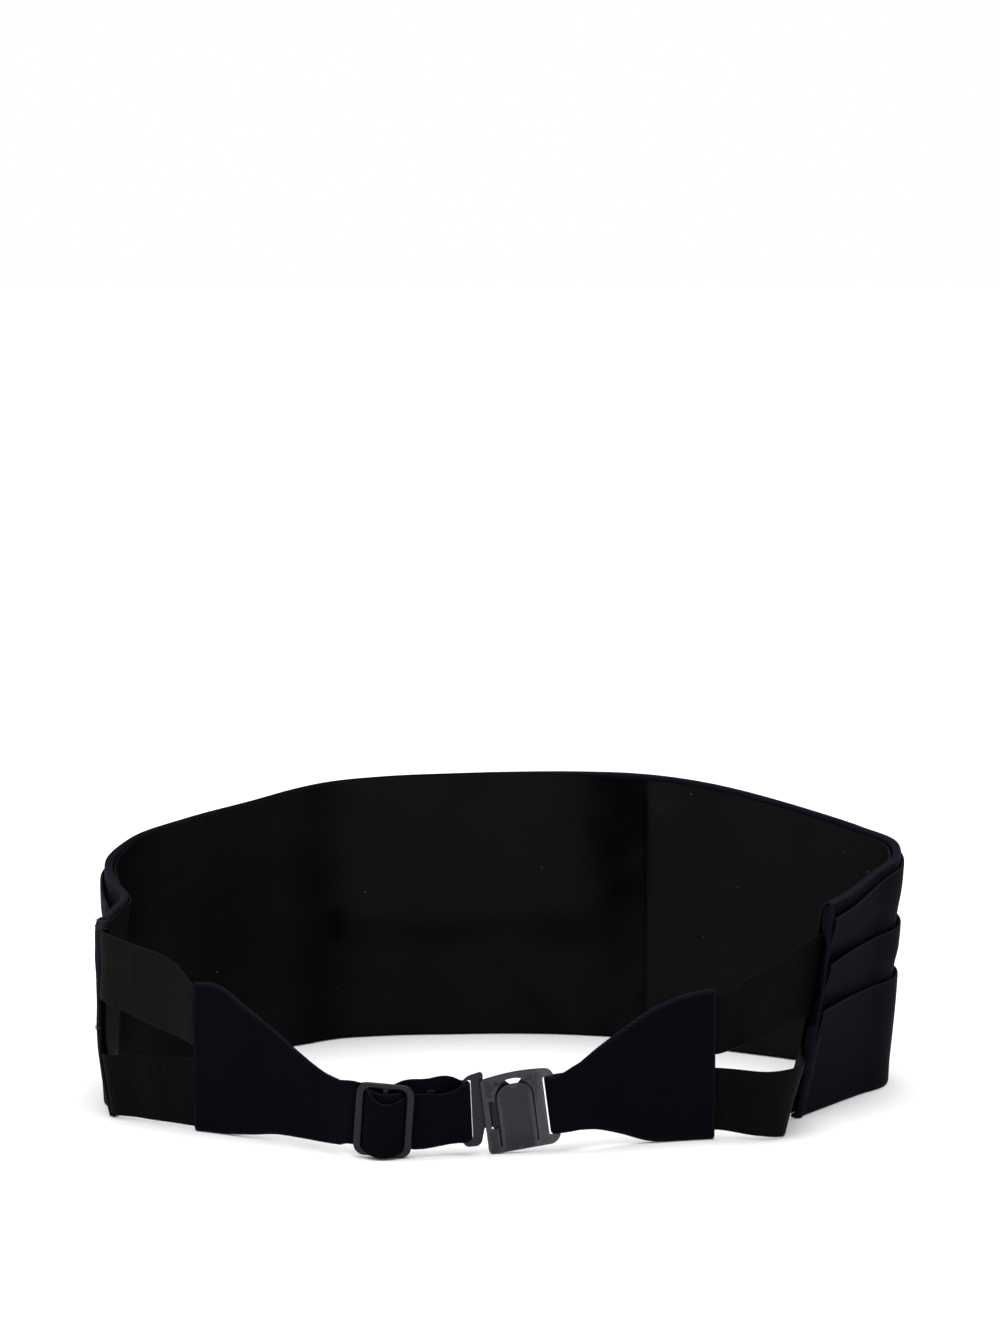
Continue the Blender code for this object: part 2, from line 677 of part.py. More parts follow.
def slider_front_pass(axes):
    """The strap from left to right, behind both side bars and over the centre bar between them."""
    behind = -(SLIDER_WALL / 2 + CLEARANCE + STRAP_WALL / 2) - CLEARANCE / 2
    outside = SLIDER_WIDTH / 2 + SLIDER_BAR / 2
    under = SLIDER_WIDTH / 2 - SLIDER_BAR / 2
    inside = SLIDER_WIDTH / 2 - SLIDER_BAR - STRAP_WALL / 2
    extra = STRAP_WALL + CLEARANCE
    degrees = [row[0] for row in STRAP_OVER_BAR]
    drops = [row[1] for row in STRAP_OVER_BAR]
    over = loop_points(SLIDER_CENTRE_BAR / 2, SLIDER_WALL / 2, extra, degrees)
    lowest = SLIDER_HEIGHT / 2 - STRAP_WIDTH / 2 - CLEARANCE
    rows = [(-outside, behind, 0.0), (-under, behind, 0.0), (-inside, behind, 0.0)]
    rows += [(x, out, -lowest * drop) for (x, out), drop in zip(over, drops)]
    rows += [(inside, behind, 0.0), (under, behind, 0.0), (outside, behind, 0.0)]
    return [strap_station(axes, *row) for row in rows]


def slider_fixed_loop(axes):
    """The strap's end from the right: behind everything, then round the centre bar."""
    behind = -(SLIDER_WALL / 2 + 3 * CLEARANCE + 3 * STRAP_WALL / 2 + CLEARANCE)
    outside = SLIDER_WIDTH / 2 + SLIDER_BAR / 2
    under = SLIDER_WIDTH / 2 - SLIDER_BAR / 2
    loose = SLIDER_HEIGHT / 2 - STRAP_WIDTH / 2
    rows = [
        (outside, behind, loose * RIDE_AT_SIDE),
        (under, behind, loose * RIDE_AT_BAR),
        (SLIDER_WIDTH / 4, behind * NEAR_LOOP_BACK, loose * RIDE_NEAR_LOOP),
    ]
    ring = loop_points(SLIDER_CENTRE_BAR / 2, SLIDER_WALL / 2, 0.0, FIXED_LOOP)
    rows += [(x, out, 0.0) for x, out in ring]
    return [strap_station(axes, *row) for row in rows]


def bar_loop(axes, bar_middle, plate_out, rise, toward):
    """The strap round a plate's bar. toward is 1 where it turns on the bar's right, else -1."""
    ring = loop_points(STRAP_BAR / 2, CLASP_WALL / 2, 0.0, range(90, -91, -2 * LOOP_STEP))
    return [strap_station(axes, bar_middle + toward * x, plate_out + out, rise) for x, out in ring]


def make_left_tab(tab, slider, eye, look):
    """The left tab, its strap over the slider, round the eye plate's bar and back to the slider."""
    stations = tab.stations()
    stations += slider_front_pass(slider)
    stations += bar_loop(eye, EYE_BAR_MIDDLE, EYE_OUT, 0.0, 1)
    stations += slider_fixed_loop(slider)
    rings = tab.pocket_rings() + strip_rings(stations)
    return loft("tab_left", rings, STRIP_CAP, look)


def make_right_tab(tab, hook, look):
    """The right tab, its strap round the hook plate's bar and its tail folded back behind."""
    stations = tab.stations()
    loop = bar_loop(hook, HOOK_BAR_MIDDLE, 0.0, HOOK_SLOT_RISE, -1)
    stations += loop
    back = loop[-1]
    tail_shift = hook.along * STRAP_TAIL
    settle = hook.out * (CLASP_WALL / 2)
    stations.append((back[0] + tail_shift + settle, back[1] + tail_shift + settle, STRAP_WALL))
    rings = tab.pocket_rings() + strip_rings(stations)
    return loft("tab_right", rings, STRIP_CAP, look)


def make_elastic(name, panel, tab, side, panel_shares, tab_shares, look):
    bows = [(share, bow) for piece, share, bow in BOWS if piece == name]
    edges = []
    for panel_share, tab_share in zip(panel_shares, tab_shares):
        start, inside_panel = panel.end_points(side, ELASTIC_OUT, panel_share)
        finish, inside_tab = tab.mouth_points(tab_share)
        chord = finish - start
        outward = Vector((chord.y, -chord.x, 0.0)) * -side
        clear = start + (start - inside_panel).normalized() * ELASTIC_RUN_OUT
        route = [inside_panel, clear]
        route += [start + chord * share + outward * bow for share, bow in bows]
        route += [finish, inside_tab]
        edges.append(route)
    rows = [(*low, *high) for low, high in zip(*edges)]
    spans = [1] + [2] * (len(bows) + 1) + [1]
    stations = [(Vector(row[:3]), Vector(row[3:]), ELASTIC_WALL) for row in smooth_rows(rows, spans)]
    return loft(name, strip_rings(stations), STRIP_CAP, look)


def stand_on_origin(pieces):
    """Moves every piece so that the whole stands on the origin, at the middle of its box."""
    corners = np.array([vert.co for piece in pieces for vert in piece.data.vertices])
    low = corners.min(axis=0)
    high = corners.max(axis=0)
    shift = Matrix.Translation((-(low[0] + high[0]) / 2, -(low[1] + high[1]) / 2, -low[2]))
    for piece in pieces:
        piece.data.transform(shift)


def main():
    clear_scene()
    navy = material(*NAVY_CLOTH)
    black = material(*BLACK_LINING)
    stretch = material(*BLACK_ELASTIC)
    metal = material(*GREY_METAL)
    panel = Panel()
    left_tab = Tab(LEFT_TAB, LEFT_STRAP_RISE)
    right_tab = Tab(RIGHT_TAB, RIGHT_STRAP_RISE)
    slider = slider_axes()
    hook = hook_axes()
    eye = eye_axes(hook)
    pieces = [
        make_pleated_front(panel, navy),
        make_lining(panel, black),
        make_slider(slider, metal),
        make_hook(hook, metal),
        *make_eye(eye, hook, metal),
        make_left_tab(left_tab, slider, eye, navy),
        make_right_tab(right_tab, hook, navy),
    ]
    for name, side, panel_low, panel_high, tab_low, tab_high in ELASTICS:
        tab = left_tab if side < 0 else right_tab
        pieces.append(make_elastic(
            name, panel, tab, side, (panel_low, panel_high), (tab_low, tab_high), stretch,
        ))
    stand_on_origin(pieces)
    return pieces


main()
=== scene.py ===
import math

import bmesh
import bpy
import numpy as np
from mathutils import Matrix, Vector


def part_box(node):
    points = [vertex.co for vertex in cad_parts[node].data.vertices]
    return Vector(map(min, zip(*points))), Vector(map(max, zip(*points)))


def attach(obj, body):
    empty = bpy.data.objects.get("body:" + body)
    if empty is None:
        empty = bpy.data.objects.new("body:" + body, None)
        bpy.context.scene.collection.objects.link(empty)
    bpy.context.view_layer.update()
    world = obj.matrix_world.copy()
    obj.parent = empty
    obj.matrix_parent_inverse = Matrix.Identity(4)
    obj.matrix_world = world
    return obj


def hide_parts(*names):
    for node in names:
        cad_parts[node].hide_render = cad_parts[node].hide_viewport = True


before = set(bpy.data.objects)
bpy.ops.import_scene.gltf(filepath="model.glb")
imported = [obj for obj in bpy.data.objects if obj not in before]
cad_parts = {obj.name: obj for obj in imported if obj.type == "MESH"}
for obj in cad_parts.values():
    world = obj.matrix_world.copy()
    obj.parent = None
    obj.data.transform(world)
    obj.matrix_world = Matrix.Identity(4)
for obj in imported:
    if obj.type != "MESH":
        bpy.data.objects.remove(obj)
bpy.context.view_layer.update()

# The part's sizes and tables, in metres, some of them drawn closer to the photo
HALF_WIDTH = 0.166
HALF_DEPTH = 0.094
CLEARANCE = 0.0003
CLOTH_WALL = 0.0006
LINING_WALL = 0.0010
ELASTIC_WALL = 0.0011
STRAP_WALL = 0.0012
PANEL_HEIGHT = 0.1204
RIM_SHOWING = 0.0025
RIM_PRESS = 0.0022
LINING_FOOT = 0.0012
HEM_HEIGHT = 0.006
END_HEM_HEIGHT = 0.0014
PLEAT_DEPTH = 0.009
PLEAT_GAP = 0.00015
FOLD_RADIUS = 0.0007
RIM_RADIUS = 0.0014
TAB_HEIGHT = 0.0617
TAB_LEAF = 0.0010
TAB_POCKET_RIM = 0.0013
SEAM = (0.0030, 0.0011)
SELVAGE = (0.0008, 0.0026)
SEWN_DOWN = (0.006, 0.009)
STRAP_WIDTH = 0.023
LEFT_STRAP_RISE = 0.0036
RIGHT_STRAP_RISE = 0.0090
STRAP_TAIL = 0.010
ELASTIC_RUN_OUT = 0.0015
SLIDER_WIDTH = 0.023
SLIDER_HEIGHT = 0.0295
SLIDER_WALL = 0.0020
SLIDER_BAR = 0.0029
SLIDER_CENTRE_BAR = 0.0024
SLIDER_RAIL = 0.0019
SLIDER_CORNER = 0.0045
SLIDER_TILT = math.radians(-4.0)
SLIDER_TURN = math.radians(-5.0)
CLASP_WALL = 0.0013
CLASP_TURN = math.radians(10.0)
HOOK_TILT = math.radians(7.5)
EYE_TILT = math.radians(2.5)
PLATE_CORNER = 0.0026
STRAP_BAR = 0.0022
STRAP_SLOT = 0.0030
SLOT_SLACK = 0.0010
HOOK_WIDTH = 0.0294
HOOK_HEIGHT = 0.0303
HOOK_SLOT_RISE = 0.0005
TONGUE_WIDTH = 0.0142
TONGUE_HEIGHT = 0.0246
TONGUE_FOOT = 0.0026
TONGUE_SIDE = 0.0044
TONGUE_GAP = 0.0008
TONGUE_CRESCENT = 0.0020
TONGUE_RAISE = 0.0009
TONGUE_CROWN = 0.0004
NOTCH_WIDTH = 0.0026
NOTCH_HEIGHT = 0.0112
NOTCH_DROP = -0.0005
EYE_HEIGHT = 0.0300
EYE_BODY = 0.0056
EYE_RISE = 0.0030
LIP_WIDTH = 0.0012
EYE_SIDE_BACK = 0.0018
EYE_SLOT_NARROWER = 0.0010
HOOK_SLOT_NARROWER = 0.0006
HOOK_TOP_BULGE = 0.0013
EYE_CORNERS = (0.0026, 0.0026, 0.0014, 0.0042)

PANEL = (
    # name, low x, low y, top x, top y, height, pocket, spans to the next row
    ("left end", -0.981, -0.480, -0.963, -0.472, 0.692, 0.02, 1),
    ("left end mouth", -0.979, -0.405, -0.944, -0.400, 0.714, 0.22, 1),
    ("left end fold", -0.977, -0.320, -0.918, -0.310, 0.740, 0.42, 2),
    ("left end neck", -0.973, -0.170, -0.952, -0.160, 0.777, 0.15, 2),
    ("left bend near", -0.972, -0.020, -0.975, -0.010, 0.803, 0.00, 2),
    ("left bend", -0.965, 0.110, -0.978, 0.120, 0.820, 0.00, 3),
    ("left bend far", -0.925, 0.265, -0.942, 0.275, 0.852, 0.00, 2),
    ("left side", -0.799, 0.490, -0.801, 0.500, 0.897, 0.00, 2),
    ("left side middle", -0.639, 0.650, -0.639, 0.660, 0.938, 0.00, 1),
    ("left crease near", -0.530, 0.775, -0.530, 0.780, 0.965, 0.00, 2),
    ("left crease", -0.445, 0.885, -0.445, 0.885, 0.976, 0.00, 2),
    ("front left", -0.301, 0.952, -0.301, 0.952, 0.987, 0.00, 2),
    ("middle left", -0.120, 0.980, -0.120, 0.980, 0.994, 0.00, 1),
    ("middle", 0.030, 0.992, 0.030, 0.992, 0.998, 0.00, 2),
    ("front right", 0.217, 0.962, 0.217, 0.962, 1.004, 0.00, 2),
    ("right crease", 0.349, 0.900, 0.349, 0.900, 1.006, 0.00, 2),
    ("right side near", 0.450, 0.815, 0.450, 0.815, 1.003, 0.00, 2),
    ("right side", 0.590, 0.670, 0.592, 0.670, 0.986, 0.00, 2),
    ("right side middle", 0.753, 0.513, 0.758, 0.513, 0.942, 0.00, 2),
    ("right bend far", 0.909, 0.330, 0.918, 0.330, 0.889, 0.00, 2),
    ("right bend", 0.974, 0.170, 0.992, 0.165, 0.861, 0.00, 3),
    ("right bend near", 0.965, 0.060, 0.990, 0.050, 0.836, 0.00, 2),
    ("right end neck", 0.893, -0.090, 0.928, -0.095, 0.798, 0.00, 2),
    ("right end mouth", 0.748, -0.405, 0.820, -0.385, 0.751, 0.00, 1),
    ("right end", 0.714, -0.480, 0.793, -0.452, 0.746, 0.00, 1),
)
PLEATS = (
    # name, upper edge as a share of the height, and at the right its rise at the bend and at the
    # end, and how far it sags and gapes at the end
    ("upper pleat", 0.935, 0.022, -0.008, 0.0003, 0.0020),
    ("middle pleat", 0.710, -0.015, 0.025, 0.0018, 0.0030),
    ("lower pleat", 0.484, -0.015, 0.035, 0.0018, 0.0030),
)
LEFT_TAB = (
    # name, x, y, rise, width, spans to the next row
    ("mouth", -0.740, -0.707, 0.00, 1.00, 1),
    ("shoulder", -0.690, -0.745, 0.00, 1.00, 2),
    ("upper slope", -0.602, -0.815, 0.33, 0.74, 2),
    ("slope", -0.541, -0.857, 0.68, 0.51, 2),
    ("lower slope", -0.480, -0.912, 0.66, 0.31, 2),
    ("neck", -0.420, -0.972, 0.60, 0.15, 2),
    ("strap", -0.381, -1.035, 0.80, 0.09, 1),
)
RIGHT_TAB = (
    ("mouth", 0.515, -0.832, 0.00, 1.00, 1),
    ("shoulder", 0.472, -0.847, 0.00, 0.98, 1),
    ("upper slope", 0.425, -0.865, 0.00, 0.93, 2),
    ("slope", 0.360, -0.895, 0.07, 0.80, 2),
    ("lower slope", 0.287, -0.929, 0.51, 0.50, 2),
    ("neck", 0.229, -0.975, 0.83, 0.26, 2),
    ("strap", 0.191, -1.012, 0.92, 0.12, 1),
)
ELASTICS = (
    # name, side, low at panel, high at panel, low at tab, high at tab
    ("elastic_left_upper", -1, 0.597, 0.945, 0.575, 0.970),
    ("elastic_left_lower", -1, 0.022, 0.323, 0.030, 0.490),
    ("elastic_right_upper", 1, 0.475, 0.850, 0.560, 0.950),
    ("elastic_right_lower", 1, 0.022, 0.325, 0.060, 0.475),
)
# Painted light for each elastic, lit and shaded copies of one webbing: it scales colour, specular and
# sheen, the upper left one brightest
ELASTIC_PAINTED_LIGHT = (1.0, 0.55, 0.50, 0.56)
BOWS = (
    # name, share of the way, share outward, lower edge's drop, upper edge's rise
    ("elastic_left_upper", 0.30, 0.04, 0.0004, 0.0016),
    ("elastic_left_upper", 0.77, -0.02, 0.0008, 0.0036),
    ("elastic_left_lower", 0.35, 0.02, 0.0, 0.0),
    ("elastic_left_lower", 0.70, 0.02, 0.0, 0.0),
    ("elastic_right_upper", 0.35, 0.02, 0.0, 0.0),
    ("elastic_right_upper", 0.70, 0.04, 0.0, 0.0),
    ("elastic_right_lower", 0.20, 0.18, 0.0014, 0.0010),
    ("elastic_right_lower", 0.45, 0.42, 0.0024, 0.0004),
    ("elastic_right_lower", 0.72, 0.36, 0.0012, -0.0004),
)
SLIDER_PLACE = (-0.275, -1.122)
HOOK_PLACE = (0.050, -1.043)
HOOK_CORNERS = (0.7, 1.8, 1.2, 0.4)
OVER_SLIDER = (
    # along the slider, out of it, lower edge, upper edge, in millimetres
    (-13.0, -1.9, -11.4, 14.2),
    (-10.0, -2.0, -11.8, 13.8),
    (-8.3, -1.6, -12.3, 14.3),
    (-7.4, 0.6, -12.4, 12.7),
    (-5.2, 2.9, -13.4, 10.2),
    (-2.6, 3.9, -14.2, 8.2),
    (0.0, 4.2, -14.6, 7.5),
    (2.6, 3.9, -14.3, 7.8),
    (5.2, 2.9, -13.6, 8.8),
    (7.4, 0.6, -12.4, 9.8),
    (8.3, -1.6, -12.3, 10.2),
    (10.0, -2.0, -11.5, 10.8),
    (13.0, -1.9, -11.3, 11.4),
)
ROUND_CENTRE_BAR = (
    (13.5, -3.6, -6.5, 17.0),
    (10.0, -3.9, -7.0, 16.6),
    (6.0, -3.8, -8.0, 15.6),
    (1.8, -2.1, -10.0, 13.8),
    (-1.5, -2.1, -11.0, 13.6),
    (-4.2, -1.8, -11.3, 13.2),
    (-6.3, -0.8, -11.3, 12.6),
    (-6.5, 0.3, -11.3, 12.4),
    (-4.8, 1.4, -11.3, 11.6),
    (-2.2, 2.0, -11.3, 11.2),
    (0.9, 2.1, -11.3, 11.2),
    (3.8, 1.7, -11.3, 11.5),
    (5.6, 0.8, -11.3, 11.9),
    (6.0, -0.4, -11.3, 12.0),
)
LOOP_STEP = 15
BACK_LEAF_SIDE = 0.0014
BACK_LEAF_HIGH = 0.0020
BACK_LEAF_DIP = 0.0034
BACK_LEAF_DIP_HALF = 0.0050
BACK_LEAF_DIP_ASIDE = 0.0008
BACK_LEAF_OUT = -0.0011
BACK_LEAF_WALL = 0.0004
RIGHT_END_ROLL = (
    # share of the height, way out, half width, way in from the end, half depth, in millimetres
    (0.00, 4.4, 1.7, 0.8, 1.9),
    (0.12, 4.8, 2.2, 1.0, 2.7),
    (0.30, 5.2, 2.6, 1.5, 3.4),
    (0.410, 5.4, 2.8, 1.8, 3.8),
    (0.432, 5.4, 2.3, 1.3, 2.9),
    (0.448, 6.7, 1.1, 0.1, 0.9),
    (0.62, 6.7, 1.1, 0.0, 0.8),
    (0.82, 6.1, 1.1, 0.0, 0.9),
    (0.845, 5.2, 1.9, 0.2, 1.1),
    (0.90, 4.2, 2.8, 0.4, 1.6),
    (0.95, 4.2, 2.4, 0.4, 1.5),
    (0.985, 4.2, 1.2, 0.3, 0.9),
)
LEFT_END_ROLL = (
    (0.00, 3.4, 0.4, 0.0, 0.5),
    (0.10, 3.6, 0.6, 0.0, 0.6),
    (0.35, 3.7, 0.7, 0.0, 0.8),
    (0.60, 3.8, 0.8, 0.0, 0.9),
    (0.80, 4.1, 1.6, 0.0, 1.0),
    (0.92, 4.0, 1.9, 0.0, 1.1),
    (0.98, 3.6, 1.6, 0.0, 0.9),
    (1.00, 3.2, 0.8, 0.0, 0.5),
)
END_KNOTS = (
    # share of the height, way out, half width, half depth, turns of thread, pitch
    (0.985, 0.0032, 0.0025, 0.0013, 9, 0.00045),
    (0.45, 0.0038, 0.0013, 0.0011, 2, 0.0005),
)
KNOT_THREAD = 0.0004
STITCH_X = -0.0284
STITCH_Z = 0.0268
STITCH_COUNT = 4
STITCH_PITCH = 0.0008
STITCH_LENGTH = 0.0011
STITCH_THREAD = 0.00026
LEFT_BASE_OUT = 0.0028
LEFT_SQUEEZE = 0.4
LEFT_TUCK = 0.0062
LEFT_TUCK_SHARE = 0.46
LEFT_TUCK_RUN = 0.030
PINCH_RUN = (0.002, 0.022)
THIN_RIM_RUN = (0.055, 0.085, 0.24, 0.31)
THIN_RIM = 0.6
RIGHT_LOWER_SLANT = 0.0070
EYE_LOOP_SAG = 0.0012
EYE_BACK = (0.0036, 0.0021, 0.0018)
EYE_TOP_SLANT = 0.0022
EYE_FOOT_BACK = 0.0014
OPENING_ROUNDNESS = 0.92
TONGUE_ROUNDNESS = 0.78
INSERT = 0.85
HEM_OUT = LINING_WALL + CLEARANCE + CLOTH_WALL / 2
BASE_OUT = 0.0046
ELASTIC_OUT = LINING_WALL + CLEARANCE + ELASTIC_WALL / 2
LAYER = CLOTH_WALL + PLEAT_GAP

# Where the lining's creases lie across the waist, and its level fold up its height
RIGHT_CREASE = 0.0625
LEFT_CREASE = -0.085
FOLD_LEVEL = 0.43
FOLD_WAVES = 60
LINING_FREE = (0.055, 0.12, 0.86, 0.925)

# How finely the dressed pieces are drawn: samples for each span of the tables
PANEL_FINE = 7
TAB_FINE = 7
TAB_SIDES = 26
ELASTIC_SIDES = 22
STRAP_FINE = 5
ELASTIC_FINE = 22
ROLL_FINE = 14
ROLL_TURNS = 20
THREAD_SIDES = 6
PLATE_STEP = 0.0011
OUTLINE_STEP = 0.0012

# Looks, light and camera
RIB_PITCH = 0.0006
HATCH_PITCH = 0.0011
WEBBING_RIB = 0.00155
WEBBING_THREAD = 0.00052
# Dark and light tones; the taffeta's light end comes mostly through its painted highlight, the lining's
# dark end through its painted shade
NAVY_TONES = (0.0012, 0.0018, 0.0036), (0.0110, 0.0112, 0.0170)
LINING_TONES = (0.0006, 0.0006, 0.0008), (0.0054, 0.0055, 0.0060)
LINT_TONE = (0.050, 0.050, 0.055)
LINT_SCALE = 300.0
ELASTIC_TONES = (0.0012, 0.0013, 0.0015), (0.0062, 0.0063, 0.0067)
THREAD_TONES = (0.004, 0.0045, 0.006), (0.020, 0.021, 0.027)
FLOOR_TONES = (0.88, 0.88, 0.88), (0.92, 0.92, 0.92)
SLIDER_METAL = (0.023, 0.0245, 0.0275)
HOOK_METAL = (0.032, 0.032, 0.036)
EYE_METAL = (0.018, 0.0185, 0.0205)
METAL_DARK = 0.75
METAL_LIGHT = 2.4
# Where across the waist the hook plate's painted highlight begins and where it is full
HOOK_PAINTED_LIGHT = (0.0130, 0.0160)
FLOOR_HALF = 20.0
WORLD_WHITE_TO = 0.17
WORLD_DIM_FROM = 0.50
WORLD_DIM = (0.16, 0.16, 0.17)
LIGHTS = (
    # kind, name, place, energy, the sun's angle or the softbox's side
    ("SUN", "overhead", (0.0, 0.0, 3.0), 4.0, math.radians(70)),
    ("AREA", "left softbox", (-1.5, -0.5, 0.9), 7.0, 1.2),
    ("AREA", "right softbox", (1.6, -0.4, 0.9), 2.5, 1.2),
)
SOFTBOX_AIM = (0.0, 0.0, 0.05)
SENSOR = 36.0
LENS = 88.03
CAMERA_DISTANCE = 1.4
CAMERA_ELEVATION = math.radians(15.0)
CAMERA_PITCH = math.radians(7.65)


# Where the tables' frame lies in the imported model's
slider_low, slider_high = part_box("slider")
SHIFT = np.array([
    (slider_low.x + slider_high.x) / 2 - SLIDER_PLACE[0] * HALF_WIDTH,
    (slider_low.y + slider_high.y) / 2 - SLIDER_PLACE[1] * HALF_DEPTH,
    0.0,
])


# Mesh making

def smooth_step(x, low, high):
    t = np.clip((np.asarray(x, dtype=float) - low) / (high - low), 0.0, 1.0)
    return t * t * (3 - 2 * t)


def plateau(x, start, full, fade, end):
    """1 from full to fade, falling smoothly to 0 at start and at end."""
    return smooth_step(x, start, full) * (1 - smooth_step(x, fade, end))


def bump_at(x, middle, half_width):
    """1 at the middle, falling smoothly to 0 at a half width on either side."""
    return 1 - smooth_step(np.abs(np.asarray(x, dtype=float) - middle) / half_width, 0.0, 1.0)


def ripples(x, y, size, seed, count=5):
    """A smooth uneven field of about unit height, the same each run, over lengths x and y."""
    rng = np.random.default_rng(seed)
    total = np.zeros(np.broadcast(x, y).shape)
    for _ in range(count):
        angle, phase, scale = rng.uniform(0, math.pi), rng.uniform(0, 2 * math.pi), rng.uniform(0.6, 1.6)
        wave = (x * math.cos(angle) + y * math.sin(angle)) * 2 * math.pi / (size * scale)
        total += np.sin(wave + phase)
    return total / count * 1.6


def between(rows, slopes, i, count, gap=1.0):
    """Samples from one row to the next on a smooth curve with the rows' slopes."""
    t = (np.arange(count) / count)[:, None]
    start = (2 * t**3 - 3 * t**2 + 1) * rows[i] + (t**3 - 2 * t**2 + t) * gap * slopes[i]
    finish = (3 * t**2 - 2 * t**3) * rows[i + 1] + (t**3 - t**2) * gap * slopes[i + 1]
    return start + finish


def smooth_rows(rows, spans):
    """Samples of one smooth curve through rows of numbers, whose first two are its plan x and y."""
    rows = np.array(rows, dtype=float)
    gaps = np.linalg.norm(np.diff(rows[:, :2], axis=0), axis=1)
    chords = np.diff(rows, axis=0) / gaps[:, None]
    before = gaps[:-1, None]
    after = gaps[1:, None]
    slopes = np.empty_like(rows)
    slopes[0] = chords[0]
    slopes[-1] = chords[-1]
    slopes[1:-1] = (chords[:-1] * after + chords[1:] * before) / (before + after)
    samples = [between(rows, slopes, i, spans[i], gap) for i, gap in enumerate(gaps)]
    return np.concatenate([*samples, rows[-1:]])


def smooth_column(table, fine):
    """Samples of a smooth curve through a table's rows, evenly between each two."""
    rows = np.array(table, dtype=float)
    slopes = np.gradient(rows, axis=0)
    samples = [between(rows, slopes, i, fine) for i in range(len(rows) - 1)]
    return np.concatenate([*samples, rows[-1:]])


def right_hand(points):
    """Vectors to the right of a route in a plane, one unit from it and stretched at its bends."""
    steps = np.diff(np.array(points, dtype=float), axis=0)
    steps /= np.linalg.norm(steps, axis=1)[:, None]
    before = np.vstack([steps[:1], steps])
    after = np.vstack([steps, steps[-1:]])
    middle = before + after
    middle /= np.linalg.norm(middle, axis=1)[:, None]
    stretch = 1.0 / np.sum(middle * after, axis=1)
    return np.column_stack([middle[:, 1], -middle[:, 0]]) * stretch[:, None]


def run_length(points):
    steps = np.linalg.norm(np.diff(points, axis=0), axis=1)
    return np.concatenate([[0.0], np.cumsum(steps)])


def mesh_from_rings(name, rings, uvs, look, edge, nodes=(), caps="face", sharp=50.0):
    """A closed tube of quads through rings, (stations, points, 3), with UVs in metres.
    Its ends are closed by one face each, or by a ladder of quads between a folded section's two sides. It
    stands for the named CAD nodes. edge is a field that its look reads: on the taffeta pieces a painted
    highlight on folds and rolled edges and painted light and shade round the end rolls, on the lining
    painted shade, on the elastics a paler tone at their rolled selvages."""
    rings = np.asarray(rings, dtype=float) + SHIFT
    stations, points, _ = rings.shape
    index = np.arange(stations * points).reshape(stations, points)
    near, far = index[:-1], index[1:]
    quads = np.stack([near, np.roll(near, -1, axis=1), np.roll(far, -1, axis=1), far], axis=-1)
    rungs = [range(points)]
    if caps == "ladder":
        rungs = [(k, k + 1, points - 2 - k, points - 1 - k) for k in range(points // 2 - 1)]
    ends = [[int(index[0][k]) for k in rung[::-1]] for rung in rungs]
    ends += [[int(index[-1][k]) for k in rung] for rung in rungs]
    mesh = bpy.data.meshes.new(name)
    mesh.from_pydata(rings.reshape(-1, 3).tolist(), [], quads.reshape(-1, 4).tolist() + ends)
    uvs = np.asarray(uvs, dtype=float)
    gap = np.linalg.norm(rings[:, :1] - rings[:, -1:], axis=-1)[..., None]
    closed = np.concatenate([uvs, uvs[:, -1:] + np.array([0.0, 1.0]) * gap], axis=1)
    corners = (closed[:-1, :-1], closed[:-1, 1:], closed[1:, 1:], closed[1:, :-1])
    loops = [np.stack(corners, axis=2).reshape(-1, 2)] + [uvs.reshape(-1, 2)[end] for end in ends]
    layer = mesh.uv_layers.new(name="UVMap")
    layer.data.foreach_set("uv", np.concatenate(loops).astype(np.float32).ravel())
    field = mesh.attributes.new("edge", "FLOAT", "POINT")
    field.data.foreach_set("value", np.asarray(edge, dtype=np.float32).ravel())
    mesh.shade_smooth()
    mesh.set_sharp_from_angle(angle=math.radians(sharp))
    piece = dress(name, mesh, look, nodes)
    bm = bmesh.new()
    bm.from_mesh(mesh)
    bmesh.ops.recalc_face_normals(bm, faces=bm.faces[:])
    bm.to_mesh(mesh)
    bm.free()
    return piece


def dress(name, mesh, look, nodes=()):
    """Makes a piece of a mesh, gives it its look and lets it ride on the part's one body."""
    piece = bpy.data.objects.new(name, mesh)
    bpy.context.scene.collection.objects.link(piece)
    mesh.materials.append(look)
    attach(piece, "root")
    if nodes:
        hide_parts(*nodes)
    return piece


def mesh_of(name, bm):
    """A smooth-shaded mesh made from a bmesh, whose faces are turned outward first."""
    bmesh.ops.recalc_face_normals(bm, faces=bm.faces[:])
    mesh = bpy.data.meshes.new(name)
    bm.to_mesh(mesh)
    bm.free()
    mesh.shade_smooth()
    return mesh


# Front panel

